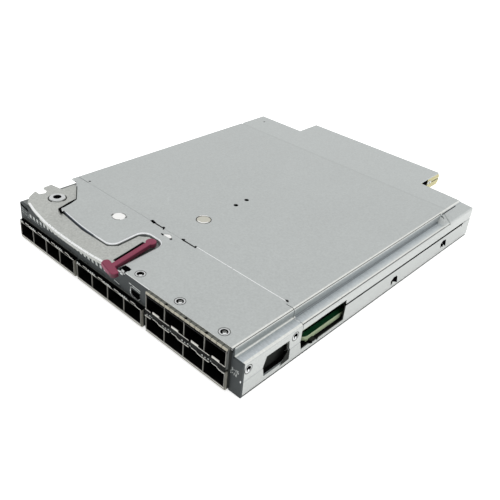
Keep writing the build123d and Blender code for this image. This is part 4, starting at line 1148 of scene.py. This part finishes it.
def photo_camera():
    """Camera at the photograph's place: its own axes from azimuth, elevation and roll."""
    a, e, r = AZIMUTH, ELEVATION, ROLL
    back = Vector((math.sin(a) * math.cos(e), -math.cos(a) * math.cos(e), math.sin(e)))
    level = Vector((0, 0, 1)).cross(back).normalized()
    up = back.cross(level)
    across = level * math.cos(r) + up * math.sin(r)
    tall = up * math.cos(r) - level * math.sin(r)
    data = bpy.data.cameras.new("photo_camera")
    data.lens = 46.52
    data.sensor_width = 36.0
    data.shift_x = 0.028
    data.shift_y = -0.060
    data.clip_start = 0.01
    cam = bpy.data.objects.new("photo_camera", data)
    bpy.context.scene.collection.objects.link(cam)
    turn = Matrix((across, tall, back)).transposed().to_4x4()
    cam.matrix_world = Matrix.Translation(CAMERA_AT) @ turn
    bpy.context.scene.camera = cam


def seen_white(tree):
    """1 for what the camera, a reflection or glass sees directly, 0 for soft light."""
    path = tree.nodes.new("ShaderNodeLightPath")
    seen = math_node(tree, "MAXIMUM", path.outputs["Is Camera Ray"], path.outputs["Is Glossy Ray"])
    return math_node(tree, "MAXIMUM", seen, path.outputs["Is Transmission Ray"])


def pale_floor():
    """Large plain floor just under the tray."""
    mesh = bpy.data.meshes.new("floor")
    signs = ((-1, -1), (1, -1), (1, 1), (-1, 1))
    corners = [(i * FLOOR_HALF, j * FLOOR_HALF, FLOOR_LIFT) for i, j in signs]
    mesh.from_pydata(corners, [], [(0, 1, 2, 3)])
    floor = bpy.data.objects.new("floor", mesh)
    bpy.context.scene.collection.objects.link(floor)
    made, tree, shader, _ = material("pale floor")
    shader.inputs["Base Color"].default_value = (0.93, 0.93, 0.93, 1)
    shader.inputs["Roughness"].default_value = 0.9
    shader.inputs["Specular IOR Level"].default_value = 0.0
    shader.inputs["Emission Color"].default_value = (1, 1, 1, 1)
    glow = math_node(tree, "MULTIPLY", seen_white(tree), 0.62)
    tree.links.new(glow, shader.inputs["Emission Strength"])
    mesh.materials.append(made)
    floor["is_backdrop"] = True


def soft_light(name, place_at, size, power):
    """Rectangular lamp at a place, turned to the middle of the row frame."""
    data = bpy.data.lights.new(name, "AREA")
    data.shape = "RECTANGLE"
    data.size, data.size_y = size
    data.energy = power
    lamp = bpy.data.objects.new(name, data)
    bpy.context.scene.collection.objects.link(lamp)
    lamp.location = place_at
    lamp.visible_glossy = False
    lamp.rotation_mode = "QUATERNION"
    lamp.rotation_quaternion = (-Vector(place_at)).to_track_quat("-Z", "Y")


def world_light():
    """Even pale surroundings, white where the camera or a reflection sees them."""
    world = bpy.data.worlds.new("pale surroundings")
    bpy.context.scene.world = world
    world.use_nodes = True
    tree = world.node_tree
    background = tree.nodes["Background"]
    seen = seen_white(tree)
    strength = math_node(tree, "ADD", math_node(tree, "MULTIPLY", seen, 0.45), 0.55)
    tree.links.new(strength, background.inputs["Strength"])
    background.inputs["Color"].default_value = (1, 1, 1, 1)


photo_camera()
pale_floor()
world_light()
soft_light("overhead", (-0.15, 0.1, 0.9), (1.1, 1.1), 4.0)
soft_light("right_side", (0.9, -0.1, 0.35), (0.8, 0.5), 2.0)

bpy.context.scene.view_settings.view_transform = "Standard"

low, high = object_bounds()
